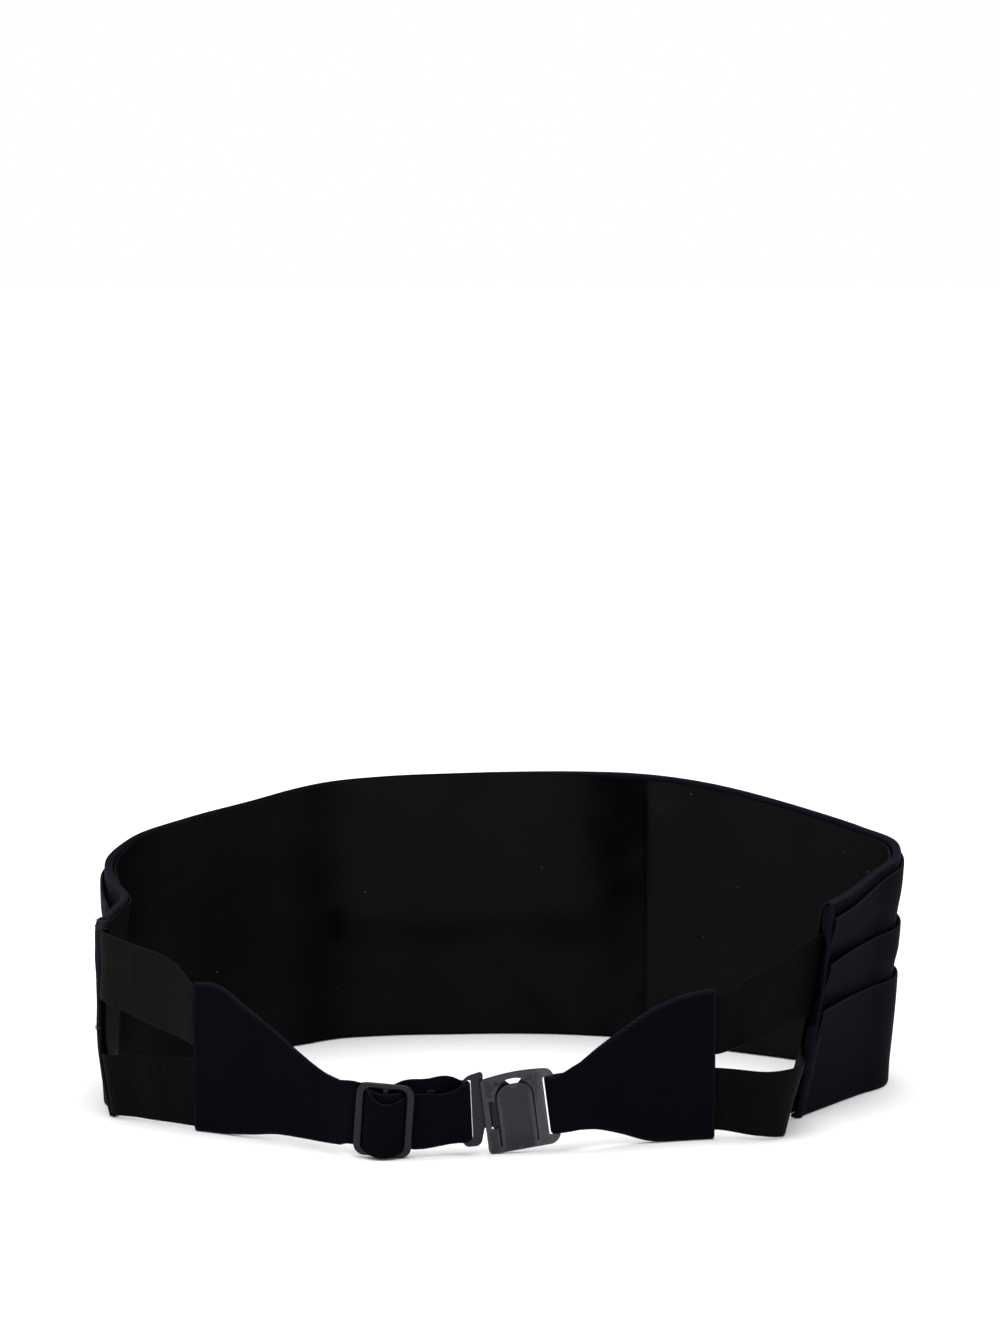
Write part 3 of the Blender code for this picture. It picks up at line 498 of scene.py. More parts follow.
class Panel:
    """The front panel's surface: stations along it, each with its edges, height and way outward."""

    def __init__(self, fine):
        rows = []
        for _, low_x, low_y, top_x, top_y, height, pocket, _ in PANEL:
            low = (low_x * HALF_WIDTH, low_y * HALF_DEPTH)
            top = (top_x * HALF_WIDTH, top_y * HALF_DEPTH)
            rows.append((*low, *top, height * PANEL_HEIGHT, pocket * PLEAT_DEPTH))
        samples = smooth_rows(rows, [row[-1] * fine for row in PANEL[:-1]])
        self.low = samples[:, 0:2]
        self.top = samples[:, 2:4]
        self.height = samples[:, 4]
        self.pocket = np.maximum(samples[:, 5], 0.0)
        middle = (self.low + self.top) / 2
        self.out = -right_hand(middle)
        self.run = run_length(middle)
        self.count = len(samples)
        self.fine = fine
        self.to_end = np.minimum(self.run, self.run[-1] - self.run)
        self.pinch = 1 - smooth_step(self.run, *PINCH_RUN)
        self.near_left = 1 - smooth_step(self.run, 0.0, LEFT_TUCK_RUN)
        self.thin_rim = plateau(self.run, *THIN_RIM_RUN)
        self.rim = RIM_SHOWING * (1 - THIN_RIM * self.thin_rim)
        bend = [row[0] for row in PANEL].index("right bend")
        self.bend_run = self.run[fine * sum(row[-1] for row in PANEL[:bend])]

    def pinched(self, out):
        """The way out, where the outer cloth is pressed thin towards the left end."""
        thin = LEFT_BASE_OUT + np.maximum(out - BASE_OUT, 0) * LEFT_SQUEEZE
        pinch = self.pinch[:, None] * smooth_step(out, HEM_OUT + CLOTH_WALL, BASE_OUT - CLOTH_WALL)
        return out * (1 - pinch) + thin * pinch

    def tuck(self, near_left, share):
        """How far the left end's foot draws inward."""
        return LEFT_TUCK * near_left * np.maximum(1 - share / LEFT_TUCK_SHARE, 0) ** 1.5

    def pleat_share(self, share, at_bend, at_end):
        """A pleat's upper edge as a share of the height, which changes round the right bend."""
        rise = at_bend * bump_at(self.run, self.bend_run, 0.06)
        return share + rise + at_end * smooth_step(self.run, self.bend_run + 0.005, self.run[-1])

    def points(self, out, z, opens=0.0):
        """Points for arrays of (stations, points). opens is 1 past the pocket."""
        share = z / self.height[:, None]
        press = self.thin_rim[:, None] * smooth_step(share, 0.80, 0.97)
        inner = 1 - smooth_step(out, HEM_OUT + CLOTH_WALL / 2, BASE_OUT - CLOTH_WALL)
        out = out + RIM_PRESS * press * inner
        plan = self.low[:, None] * (1 - share[..., None]) + self.top[:, None] * share[..., None]
        reach = out + opens * self.pocket[:, None] * share**2
        reach = reach - self.tuck(self.near_left[:, None], share)
        plan = plan + self.out[:, None] * reach[..., None]
        return np.dstack([plan, z])

    def one(self, station, out, z):
        share = z / self.height[station]
        out = out - float(self.tuck(self.near_left[station], share))
        plan = self.low[station] * (1 - share) + self.top[station] * share + self.out[station] * out
        return Vector((plan[0], plan[1], z))

    def end_points(self, side, out, z_share):
        """The point at one end of the panel and one INSERT of a table's span inside it."""
        end, inside = (0, self.fine) if side < 0 else (self.count - 1, self.count - 1 - self.fine)
        z = z_share * self.height[end]
        at_end = self.one(end, out, z)
        return at_end, at_end.lerp(self.one(inside, out, z), INSERT)

    def end_axes(self, side, out, z):
        """A point at one end of the panel, and the ways onward and outward there."""
        end, inner = (0, 1) if side < 0 else (self.count - 1, self.count - 2)
        here = self.one(end, out, z)
        along = (here - self.one(inner, out, z)).normalized()
        return here, along, Vector((*self.out[end], 0.0)).normalized()


def rounded_line(corners, radii, steps, counts):
    """Lines through corners of (stations, corners, n), rounded by radii, counts of points between."""
    pieces = []
    last = corners.shape[1] - 1
    previous = corners[:, 0]
    for i in range(1, last + 1):
        here = corners[:, i]
        if i == last:
            target = here
        else:
            back = corners[:, i - 1] - here
            onward = corners[:, i + 1] - here
            back_length = np.linalg.norm(back[:, :2], axis=1)[:, None]
            onward_length = np.linalg.norm(onward[:, :2], axis=1)[:, None]
            reach_back = np.minimum(radii[i], back_length * 0.46) / back_length
            reach_on = np.minimum(radii[i], onward_length * 0.46) / onward_length
            target = here + back * reach_back
        for k in range(counts[i - 1]):
            pieces.append(previous + (target - previous) * (k / counts[i - 1]))
        if i == last:
            pieces.append(target)
            break
        after = here + onward * reach_on
        for k in range(steps):
            t = (k + 0.5 * (k > 0)) / steps
            pieces.append(target * (1 - t) ** 2 + 2 * here * t * (1 - t) + after * t**2)
        previous = after
    return np.stack(pieces, axis=1)


def pleated_lines(panel):
    """The pleated cloth's middle at every station, from its upper hem to its lower one."""
    height = panel.height
    ones = np.ones_like(height)
    hem = END_HEM_HEIGHT + (HEM_HEIGHT - END_HEM_HEIGHT) * smooth_step(panel.to_end, 0.011, 0.018)
    rim = height - CLOTH_WALL / 2
    corners, radii, counts = [], [], []

    def add(out, z, opens, radius, count):
        corners.append(np.stack([out * ones, z * ones, opens * ones], axis=1))
        radii.append(radius)
        counts.append(count)

    add(HEM_OUT, height - panel.rim - hem, 0, 0, 3)
    add(HEM_OUT, rim, 0, RIM_RADIUS, 1)
    add(BASE_OUT, rim, 0, RIM_RADIUS, 2)
    opens = 0
    for number, (_, *shares, right_sag, right_gape) in enumerate(PLEATS):
        share = panel.pleat_share(*shares)
        near_right = np.exp(-(panel.run[-1] - panel.run) / 0.022)
        near_left = np.exp(-panel.run / 0.02)
        uneven = ripples(panel.run, 0.0, 0.09, 11 + number)
        sag = 0.0004 * uneven + right_sag * near_right + 0.0004 * near_left
        gape = 0.0003 + 0.0003 * ripples(panel.run, 0.0, 0.13, 21 + number)
        gape = gape + right_gape * near_right
        top = share * height - sag
        bottom = share * height - PLEAT_DEPTH
        if opens:
            add(BASE_OUT, top + 0.004, opens, 0.004, 2)
        add(BASE_OUT, bottom, opens, FOLD_RADIUS, 1)
        add(BASE_OUT + LAYER, bottom, 1, FOLD_RADIUS, 3)
        add(BASE_OUT + LAYER + gape, top, 1, FOLD_RADIUS, 1)
        add(BASE_OUT + 2 * LAYER + gape, top, 1, FOLD_RADIUS, 3)
        add(BASE_OUT + 2 * LAYER + gape * 0.6, bottom - 0.002, 1, 0.005, 5)
        opens = 1
    add(BASE_OUT + 1.5 * LAYER, bottom - 0.02, 1, 0.012, 6)
    add(BASE_OUT, CLOTH_WALL / 2, 1, FOLD_RADIUS, 1)
    add(HEM_OUT, CLOTH_WALL / 2, 1, FOLD_RADIUS, 2)
    add(HEM_OUT, hem, 1, 0, 1)
    return rounded_line(np.stack(corners, axis=1), radii, 4, counts)


def panel_relief(panel, z):
    """How far the whole panel swells outward, unevenly, away from its edges."""
    run = panel.run[:, None]
    inside = smooth_step(z / panel.height[:, None], 0.0, 0.12)
    inside = inside * smooth_step(panel.to_end, 0.0, 0.03)[:, None]
    return 0.0005 * inside * ripples(run, z, 0.11, 5)


def make_pleated_front(panel, look):
    lines = pleated_lines(panel)
    one, other = [], []
    for line in lines:
        half = right_hand(line[:, :2]) * CLOTH_WALL / 2
        one.append(line[:, :2] + half)
        other.append((line[:, :2] - half)[::-1])
    ring = np.concatenate([np.array(one), np.array(other)], axis=1)
    opens = np.concatenate([lines[..., 2], lines[:, ::-1, 2]], axis=1)
    out, z = ring[..., 0], ring[..., 1]
    points = panel.points(panel.pinched(out) + panel_relief(panel, z), z, opens)
    along = np.linalg.norm(np.diff(points, axis=1), axis=2)
    v = np.concatenate([np.zeros((panel.count, 1)), np.cumsum(along, axis=1)], axis=1)
    uvs = np.dstack([np.broadcast_to(panel.run[:, None], v.shape), v])
    # Painted highlight: on the section's folds and edges, and half as much on the rim's showing strip
    # towards the right end
    at_rim = (z > (panel.height - 1.4 * RIM_SHOWING)[:, None]) * (out < BASE_OUT)
    fold = np.maximum(folds_of(points), 0.5 * at_rim * smooth_step(panel.run, 0.27, 0.31)[:, None])
    piece = mesh_from_rings(
        "pleated_front_cloth", points, uvs, look, fold, ["pleated_front"], caps="ladder",
    )
    return piece, float(np.mean(v[:, v.shape[1] // 2]))


def folds_of(points):
    """1 where a section turns sharply, at folds and edges, and 0 where it is flat."""
    before = points - np.roll(points, 1, axis=1)
    after = np.roll(points, -1, axis=1) - points
    before /= np.linalg.norm(before, axis=2)[..., None] + 1e-12
    after /= np.linalg.norm(after, axis=2)[..., None] + 1e-12
    turn = 1 - np.sum(before * after, axis=2)
    return np.clip(turn * 12, 0, 1)


def lining_relief(panel, z):
    """The lining's soft creases and hollows. Positive goes out towards the pleats."""
    x = (panel.low[:, 0] + SHIFT[0])[:, None]
    run = panel.run[:, None]
    far = (panel.low[:, 1] > 0.2 * HALF_DEPTH)[:, None]
    share = z / panel.height[:, None]
    valley = plateau(x, 0.044, RIGHT_CREASE, RIGHT_CREASE, 0.0665)
    valley = valley * (0.55 + 0.45 * smooth_step(share, 0.35, 0.95))
    ridge = bump_at(x, 0.072, 0.011) * (0.5 + 0.5 * smooth_step(share, 0.2, 0.8))
    left_valley = bump_at(x, LEFT_CREASE, 0.011) * (0.6 + 0.4 * smooth_step(1 - share, 0.2, 0.9))
    line = FOLD_LEVEL + 0.05 * np.sin(x * FOLD_WAVES)
    shelf = plateau(share, line - 0.10, line, line, line + 0.22) * plateau(x, LEFT_CREASE, -0.06, 0.0, 0.04)
    pucker = bump_at(x, -0.073, 0.010) * bump_at(share, 0.50, 0.10)
    uneven = 0.00035 * ripples(run, z, 0.05, 31) + 0.0001 * ripples(run, z, 0.018, 32)
    creases = 0.0022 * valley - 0.0016 * ridge + 0.0009 * left_valley
    relief = far * (creases - 0.0018 * shelf + 0.0012 * pucker) + uneven
    calm = plateau(share, *LINING_FREE) * smooth_step(panel.to_end, 0.004, 0.03)[:, None]
    return relief * calm


def lining_painted_shade(panel, z):
    """Painted shade on the lining, from 0 to 1: a band beside the crease, the left, a level fold, with some
    random unevenness.
    """
    x = (panel.low[:, 0] + SHIFT[0])[:, None]
    run = panel.run[:, None]
    share = z / panel.height[:, None]
    far = smooth_step(panel.low[:, 1], 0.1 * HALF_DEPTH, 0.5 * HALF_DEPTH)[:, None]
    band = plateau(x, 0.030, 0.052, RIGHT_CREASE + 0.0020, 0.0662)
    band = band * (0.40 + 0.42 * smooth_step(share, 0.20, 0.55) + 0.12 * ripples(x, z, 0.022, 37))
    left = 0.42 * (1 - smooth_step(x, LEFT_CREASE, -0.055))
    crease = 0.14 * bump_at(x, -0.082, 0.016)
    line = FOLD_LEVEL + 0.015 * np.sin(x * FOLD_WAVES)
    level = 0.34 * plateau(share, line - 0.16, line, line - 0.01, line + 0.07)
    level = level + 0.12 * (1 - smooth_step(share, line - 0.05, line + 0.10))
    level = level * plateau(x, -0.082, -0.06, 0.03, 0.06)
    hook = 0.30 * bump_at(x, -0.074, 0.006) * plateau(share, 0.36, 0.42, 0.48, 0.56)
    lean = bump_at((x - 0.005) * 9 + (share - 0.22), 0.0, 0.05) * smooth_step(x, -0.02, 0.0)
    lean = 0.22 * lean * (1 - smooth_step(share, 0.30, 0.40))
    uneven = 0.11 * ripples(run, z, 0.09, 35) + 0.05 * ripples(run, z, 0.03, 36)
    return np.clip(far * (band + crease + level + hook + lean) + left + uneven, 0, 1)


def make_lining(panel, look):
    wall = 0.8 * LINING_WALL
    head = panel.height - panel.rim
    share = np.linspace(0, 1, 64)
    inner = LINING_FOOT + share[None, :] * (head - LINING_FOOT)[:, None]
    outer = LINING_FOOT + np.linspace(1, 0, 14)[None, :] * (head - LINING_FOOT)[:, None]
    z = np.concatenate([inner, outer], axis=1)
    relief = np.minimum(lining_relief(panel, z), BASE_OUT - CLOTH_WALL - LINING_WALL)
    out = relief + np.concatenate([np.zeros_like(inner), np.full_like(outer, wall)], axis=1)
    points = panel.points(out, z)
    uvs = np.dstack([np.broadcast_to(panel.run[:, None], z.shape), z])
    # Painted shade for the lining's colour, carried in its mesh's edge field
    dark = lining_painted_shade(panel, z)
    return mesh_from_rings("lining_cloth", points, uvs, look, dark, ["lining"])


# Strips, tabs and straps

def rounded_section(height, wall, roll, sides, turn=5):
    """The points round a rounded section, for arrays of stations: how high each lies, how far off
    the middle, and from -1 to 1 how squarely it faces to the right."""
    places = [(-90 + 90 * k / turn, 0.0) for k in range(turn)]
    places += [(0, k / sides) for k in range(sides + 1)]
    places += [(90 * k / turn, 1.0) for k in range(1, 2 * turn)]
    places += [(180, 1 - k / sides) for k in range(sides + 1)]
    places += [(-180 + 90 * k / turn, 0.0) for k in range(1, turn)]
    angle, share = np.array(places).T
    angle = np.radians(angle)
    roll = np.minimum(roll, height * 0.45)[:, None]
    heights = roll + (height[:, None] - 2 * roll) * share + roll * np.sin(angle)
    return heights, wall[:, None] / 2 * np.cos(angle), np.cos(angle)


class Strip:
    """A strip of cloth through stations of low edge, high edge and wall, ready to be shaped."""

    def __init__(self, low, high, wall, roll, sides):
        self.low = np.asarray(low, dtype=float)
        self.high = np.asarray(high, dtype=float)
        middle = (self.low + self.high) / 2
        side = right_hand(middle[:, :2])
        self.side = np.column_stack([side, np.zeros(len(side))])
        self.height = np.linalg.norm(self.high - self.low, axis=1)
        self.up = (self.high - self.low) / self.height[:, None]
        self.run = run_length(middle)
        wall = np.asarray(wall, dtype=float) * np.ones(len(self.low))
        self.heights, self.offs, self.faces = rounded_section(self.height, wall, roll, sides)

    def rings(self, relief=0.0, shift=0.0):
        """The strip's rings. relief swells both faces outward, and shift moves all to its right."""
        off = self.offs + self.faces * relief + shift
        rise = self.up[:, None] * self.heights[..., None]
        return self.low[:, None] + rise + self.side[:, None] * off[..., None]

    def uvs(self):
        across = np.linalg.norm(np.diff(self.rings(), axis=1), axis=2)
        v = np.concatenate([np.zeros((len(self.run), 1)), np.cumsum(across, axis=1)], axis=1)
        return np.dstack([np.broadcast_to(self.run[:, None], v.shape), v])

    # 1 on the rolled edges and 0 on the flat faces; the taffeta's look paints a highlight there
    def edge(self):
        return np.broadcast_to(1 - self.faces**2, self.offs.shape)


def tab_rows(table, rise):
    plan = []
    for _, x, y, rise_share, width_share, _ in table:
        low = rise_share * rise
        high = low + STRAP_WIDTH + width_share * (TAB_HEIGHT - STRAP_WIDTH)
        plan.append((x * HALF_WIDTH, y * HALF_DEPTH, low, high, width_share))
    return plan


class Axes:
    """A rigid piece's own axes: along the waist to the right, up, and out to the clasp's side."""

    def __init__(self, origin, turn, tilt):
        level = Vector((math.cos(turn), math.sin(turn), 0.0))
        upright = Vector((0.0, 0.0, 1.0))
        self.origin = origin
        self.out = Vector((level.y, -level.x, 0.0))
        self.along = level * math.cos(tilt) + upright * math.sin(tilt)
        self.up = upright * math.cos(tilt) - level * math.sin(tilt)

    def at(self, along, up, out):
        return self.origin + self.along * along + self.up * up + self.out * out

    def flat(self, point):
        offset = point - self.origin
        return offset.dot(self.along), offset.dot(self.up)


def standing_axes(place, width, height, corner, turn, tilt):
    """The axes of a tilted plate that stands on the floor on a rounded corner."""
    straight = width / 2 - corner
    upright = height / 2 - corner
    rise = upright * math.cos(tilt) + straight * abs(math.sin(tilt)) + corner
    return Axes(Vector((place[0] * HALF_WIDTH, place[1] * HALF_DEPTH, rise)), turn, tilt)


# The hook plate from its right side to its left, measured from its middle
HOOK_BAR_MIDDLE = HOOK_WIDTH / 2 - STRAP_BAR / 2
HOOK_SLOT_RIGHT = HOOK_WIDTH / 2 - STRAP_BAR
HOOK_SLOT_LEFT = HOOK_SLOT_RIGHT - STRAP_SLOT
TONGUE_RIGHT = HOOK_SLOT_LEFT - TONGUE_SIDE
TONGUE_LEFT = TONGUE_RIGHT - TONGUE_WIDTH
NOTCH_RIGHT = TONGUE_LEFT - TONGUE_GAP
NOTCH_LEFT = NOTCH_RIGHT - NOTCH_WIDTH
TONGUE_LOW = TONGUE_FOOT - HOOK_HEIGHT / 2
TONGUE_HIGH = TONGUE_LOW + TONGUE_HEIGHT

# The eye plate from its left side to its right, measured from its middle
EYE_WIDTH = STRAP_BAR + STRAP_SLOT + EYE_BODY
EYE_BAR_MIDDLE = STRAP_BAR / 2 - EYE_WIDTH / 2
EYE_OUT = -(CLASP_WALL + CLEARANCE)


def eye_axes(hook):
    middle = NOTCH_LEFT - CLEARANCE - EYE_WIDTH / 2
    level = Vector((hook.along.x, hook.along.y, 0.0)).normalized()
    origin = hook.origin + level * middle
    origin.z = LEFT_STRAP_RISE + EYE_RISE + STRAP_WIDTH / 2
    return Axes(origin, CLASP_TURN, EYE_TILT)


def loop_points(half_width, half_wall, extra, degrees):
    radius = math.hypot(half_width, half_wall) + CLEARANCE + STRAP_WALL / 2 + extra
    radius /= math.cos(math.radians(LOOP_STEP))
    return [(radius * math.cos(math.radians(d)), radius * math.sin(math.radians(d))) for d in degrees]


def strap_station(axes, along, out, shift):
    low = axes.at(along, shift - STRAP_WIDTH / 2, out)
    high = axes.at(along, shift + STRAP_WIDTH / 2, out)
    return (*low, *high, STRAP_WALL)


def strap_through(axes, table):
    """Strap stations from a table of along, out, lower edge and upper edge, in millimetres."""
    rows = []
    for row in table:
        along, out, low, high = (number / 1000 for number in row)
        rows.append((*axes.at(along, low, out), *axes.at(along, high, out), STRAP_WALL))
    return rows


def bar_loop(axes, bar_middle, plate_out, rise, toward):
    ring = loop_points(STRAP_BAR / 2, CLASP_WALL / 2, 0.0, range(90, -91, -2 * LOOP_STEP))
    return [strap_station(axes, bar_middle + toward * x, plate_out + out, rise) for x, out in ring]


def eye_loop(axes):
    """The strap round the eye plate's bar, whose front hangs a little lower than its back."""
    before = STRAP_WIDTH / 2
    along, out = EYE_BAR_MIDDLE - 3 * EYE_LOOP_SAG, EYE_OUT + 1.6 * EYE_LOOP_SAG
    low = axes.at(along, -before - EYE_LOOP_SAG, out)
    high = axes.at(along, before - 2.1 * EYE_LOOP_SAG, out)
    stations = [(*low, *high, STRAP_WALL)]
    for number, station in enumerate(bar_loop(axes, EYE_BAR_MIDDLE, EYE_OUT, 0.0, 1)):
        front = (1 + math.sin(math.radians(90 - 2 * LOOP_STEP * number))) / 2
        low = Vector(station[:3]) - axes.up * (EYE_LOOP_SAG * front**3)
        high = Vector(station[3:6]) - axes.up * (EYE_LOOP_SAG / 2 * front)
        stations.append((*low, *high, STRAP_WALL))
    return stations


MOUTH_WALL = ELASTIC_WALL + 2 * CLEARANCE + 2 * TAB_LEAF


def make_tab(name, node, table, rise, strap_stations, look, seed):
    """A tab and its strap as one piece of cloth, rolled along its edges, open at its mouth."""
    plan = tab_rows(table, rise)
    samples = smooth_rows(plan, [row[-1] * TAB_FINE for row in table[:-1]])
    width = np.clip(samples[:, 4], 0, 1)
    wall = STRAP_WALL + (MOUTH_WALL - STRAP_WALL) * width
    tab = np.column_stack([samples[:, 0:2], samples[:, 2], samples[:, 0:2], samples[:, 3], wall])
    rows = [tab[-1], *strap_stations]
    strap = smooth_rows(rows, [STRAP_FINE] * (len(rows) - 1))[1:]
    stations = np.vstack([tab, strap])
    width = np.concatenate([width, np.zeros(len(strap))])
    roll = 0.0008 + 0.0019 * smooth_step(width, 0.0, 0.6)
    strip = Strip(stations[:, 0:3], stations[:, 3:6], stations[:, 6], roll, sides=TAB_SIDES)
    run = strip.run[:, None]
    from_high = strip.height[:, None] - strip.heights
    from_low = strip.heights
    groove = bump_at(from_high, *SEAM) + 0.5 * bump_at(from_low, *SEAM)
    groove = groove * smooth_step(width, 0.0, 0.3)[:, None]
    wide = smooth_step(width, 0.05, 0.5)[:, None]
    relief = wide * (0.00028 * ripples(run, strip.heights, 0.03, seed) - 0.00035 * groove)
    relief = relief + wide * 0.0004 * smooth_step(run, 0.010, 0.0) * smooth_step(from_high, 0.004, 0.010)
    sway = wide * 0.0006 * ripples(run, strip.heights, 0.07, seed + 1) * smooth_step(run, 0.0, 0.012)
    rings = strip.rings(relief, sway)
    uvs = strip.uvs()
    edge = strip.edge()
    # The mouth: a rounded rim, and the pocket that the elastics go into
    rim = np.array([0.0, 0.0, TAB_POCKET_RIM])
    pocket = Strip(strip.low + rim, strip.high - rim, ELASTIC_WALL + 2 * CLEARANCE, 0.0005, sides=TAB_SIDES)
    pocket = pocket.rings(0.0, sway)
    lip = rings[0] * 0.5 + pocket[0] * 0.5 - np.append(middle_step(strip) * 0.0004, 0.0)
    first = [pocket[TAB_FINE], pocket[TAB_FINE // 2], pocket[0], lip]
    rings = np.concatenate([np.array(first), rings])
    uvs = np.concatenate([np.repeat(uvs[:1], len(first), axis=0), uvs])
    # Painted highlight: full on the mouth's rim and pocket, 0.6 where the tab begins, and on its rolled
    # edges elsewhere
    edge = np.concatenate([np.ones((len(first), edge.shape[1])), edge])
    edge[len(first)] = 0.6
    return mesh_from_rings(name, rings, uvs, look, edge, [node], sharp=60.0), strip


def middle_step(strip):
    """A unit step in plan from a strip's first station to its second."""
    step = (strip.low[1] + strip.high[1] - strip.low[0] - strip.high[0])[:2]
    return step / np.linalg.norm(step)


def tab_point(table, rise, row, z):
    plan = tab_rows(table, rise)[row]
    return Vector((plan[0], plan[1], z))


def make_elastic(name, panel, table, rise, side, panel_shares, tab_shares, look, seed):
    bows = [row[1:] for row in BOWS if row[0] == name]
    edges = []
    for which, (panel_share, tab_share) in enumerate(zip(panel_shares, tab_shares)):
        start, inside_panel = panel.end_points(side, ELASTIC_OUT, panel_share)
        z = tab_share * TAB_HEIGHT
        finish = tab_point(table, rise, 0, z)
        inside_tab = finish.lerp(tab_point(table, rise, 1, z), INSERT)
        if name == "elastic_right_lower" and not which:
            slant = (start - inside_panel).normalized() * RIGHT_LOWER_SLANT
            inside_panel = inside_panel + slant
            start = start + slant
        chord = finish - start
        outward = Vector((chord.y, -chord.x, 0.0)) * -side
        clear = start + (start - inside_panel).normalized() * ELASTIC_RUN_OUT
        route = [inside_panel, clear]
        for share, bow, *rises in bows:
            rise_here = Vector((0.0, 0.0, rises[1] if which else -rises[0]))
            route.append(start + chord * share + outward * bow + rise_here)
        route += [finish, inside_tab]
        edges.append(route)
    rows = [(*low, *high) for low, high in zip(*edges)]
    spans = [1] + [2] * (len(bows) + 1) + [1]
    samples = smooth_rows(rows, [span * ELASTIC_FINE for span in spans])
    strip = Strip(samples[:, 0:3], samples[:, 3:6], ELASTIC_WALL, 0.0006, sides=ELASTIC_SIDES)
    run = strip.run[:, None]
    to_edge = np.minimum(strip.heights, strip.height[:, None] - strip.heights)
    inner = smooth_step(to_edge, *SELVAGE)
    free = smooth_step(np.minimum(run, strip.run[-1] - run), *SEWN_DOWN)
    drift = 0.00045 * ripples(run, strip.heights, 0.02, seed)
    rib = np.sin((run + drift) * 2 * math.pi / WEBBING_RIB)
    strength = 0.55 + 0.45 * ripples(run, strip.heights * 0.4, 0.012, seed + 1)
    relief = 0.00009 * rib * inner * np.clip(strength, 0.1, 1.2) * free
    sway = free * (0.0005 * ripples(run, strip.heights, 0.03, seed + 2))
    rings = strip.rings(relief, sway)
    webbing = mesh_from_rings(
        name + "_webbing", rings, strip.uvs(), look, strip.edge(), [name],
    )
    return webbing, strip


# Rigid pieces

def rounded_outline(left, right, low, high, radii, steps=10):
    """A rectangle with rounded corners, anticlockwise from the lower left one."""
    corners = ((left, low, 180), (right, low, 270), (right, high, 0), (left, high, 90))
    points = []
    for (x, y, start), radius in zip(corners, radii):
        inward_x = radius if x == left else -radius
        inward_y = radius if y == low else -radius
        for k in range(steps + 1):
            angle = math.radians(start + 90 * k / steps)
            points.append((
                x + inward_x + radius * math.cos(angle),
                y + inward_y + radius * math.sin(angle),
            ))
    return points


def arch(left, right, low, high, roundness, steps=12):
    half = (right - left) / 2
    middle = (left + right) / 2
    radius = half * roundness
    shoulder = []
    for k in range(steps + 1):
        angle = math.pi / 2 * k / steps
        reach = half - radius + radius * math.cos(angle)
        shoulder.append((reach, high - radius + radius * math.sin(angle)))
    points = [(left, low)]
    points += [(middle - x, z) for x, z in shoulder]
    points += [(middle + x, z) for x, z in reversed(shoulder)]
    points.append((right, low))
    return points


def make_plate(name, node, axes, out, wall, outer, holes, look, soft, form=None):
    """A stamped plate with holes and soft edges. form(along, up) bends it outward."""
    bm = bmesh.new()
    edges = []
    for loop in (outer, *holes):
        verts = [bm.verts.new((x, z, -wall / 2)) for x, z in loop]
        edges += [bm.edges.new(pair) for pair in zip(verts, verts[1:] + verts[:1])]
    bmesh.ops.triangle_fill(bm, edges=edges, use_beauty=True)
    if form:
        for way, step in enumerate((PLATE_STEP, 2 * PLATE_STEP)):
            across = [point[way] for point in outer]
            normal = Vector((1 - way, way, 0))
            for place in np.arange(min(across) + PLATE_STEP, max(across), step):
                everything = bm.verts[:] + bm.edges[:] + bm.faces[:]
                bmesh.ops.bisect_plane(bm, geom=everything, plane_co=normal * place, plane_no=normal)
    grown = bmesh.ops.extrude_face_region(bm, geom=bm.faces[:], use_keep_orig=True)
    fronts = [item for item in grown["geom"] if isinstance(item, bmesh.types.BMVert)]
    bmesh.ops.translate(bm, verts=fronts, vec=(0, 0, wall))
    bmesh.ops.recalc_face_normals(bm, faces=bm.faces[:])
    shift = Vector(SHIFT)
    for vert in bm.verts:
        x, z, y = vert.co
        rise = form(x, z) if form else 0.0
        vert.co = axes.at(x, z, out + y + rise) + shift
    piece = dress(name, mesh_of(name, bm), look, [node] if node else [])
    soften = piece.modifiers.new("soft edges", "BEVEL")
    soften.width = soft
    soften.segments = 4
    soften.limit_method = "ANGLE"
    soften.angle_limit = math.radians(50)
    soften.harden_normals = True


def make_slider(axes, look):
    half_width = SLIDER_WIDTH / 2
    half_height = SLIDER_HEIGHT / 2
    side = half_width - SLIDER_BAR - 0.0002
    rail = half_height - SLIDER_RAIL - 0.0002
    bar = SLIDER_CENTRE_BAR / 2
    soft = SLIDER_CORNER - SLIDER_RAIL
    tight = SLIDER_CENTRE_BAR / 4
    outer = rounded_outline(-half_width, half_width, -half_height, half_height, [SLIDER_CORNER] * 4)
    left = rounded_outline(-side, -bar, -rail, rail, (soft, tight, tight, soft), steps=6)
    right = rounded_outline(bar, side, -rail, rail, (tight, soft, soft, tight), steps=6)
    make_plate("slider_frame", "slider", axes, 0.0, SLIDER_WALL, outer, (left, right), look, 0.0008)


def tongue_opening():
    right, high = TONGUE_RIGHT + TONGUE_GAP, TONGUE_HIGH + TONGUE_CRESCENT
    around = arch(NOTCH_RIGHT, right, TONGUE_LOW, high, OPENING_ROUNDNESS)
    tongue = arch(TONGUE_LEFT, TONGUE_RIGHT, TONGUE_LOW, TONGUE_HIGH, TONGUE_ROUNDNESS)
    notch_low = -NOTCH_DROP - NOTCH_HEIGHT / 2
    notch_high = -NOTCH_DROP + NOTCH_HEIGHT / 2
    notch = [
        (NOTCH_RIGHT, notch_low), (NOTCH_LEFT, notch_low),
        (NOTCH_LEFT, notch_high), (NOTCH_RIGHT, notch_high),
    ]
    return around[:1] + notch + around[1:] + tongue[::-1]


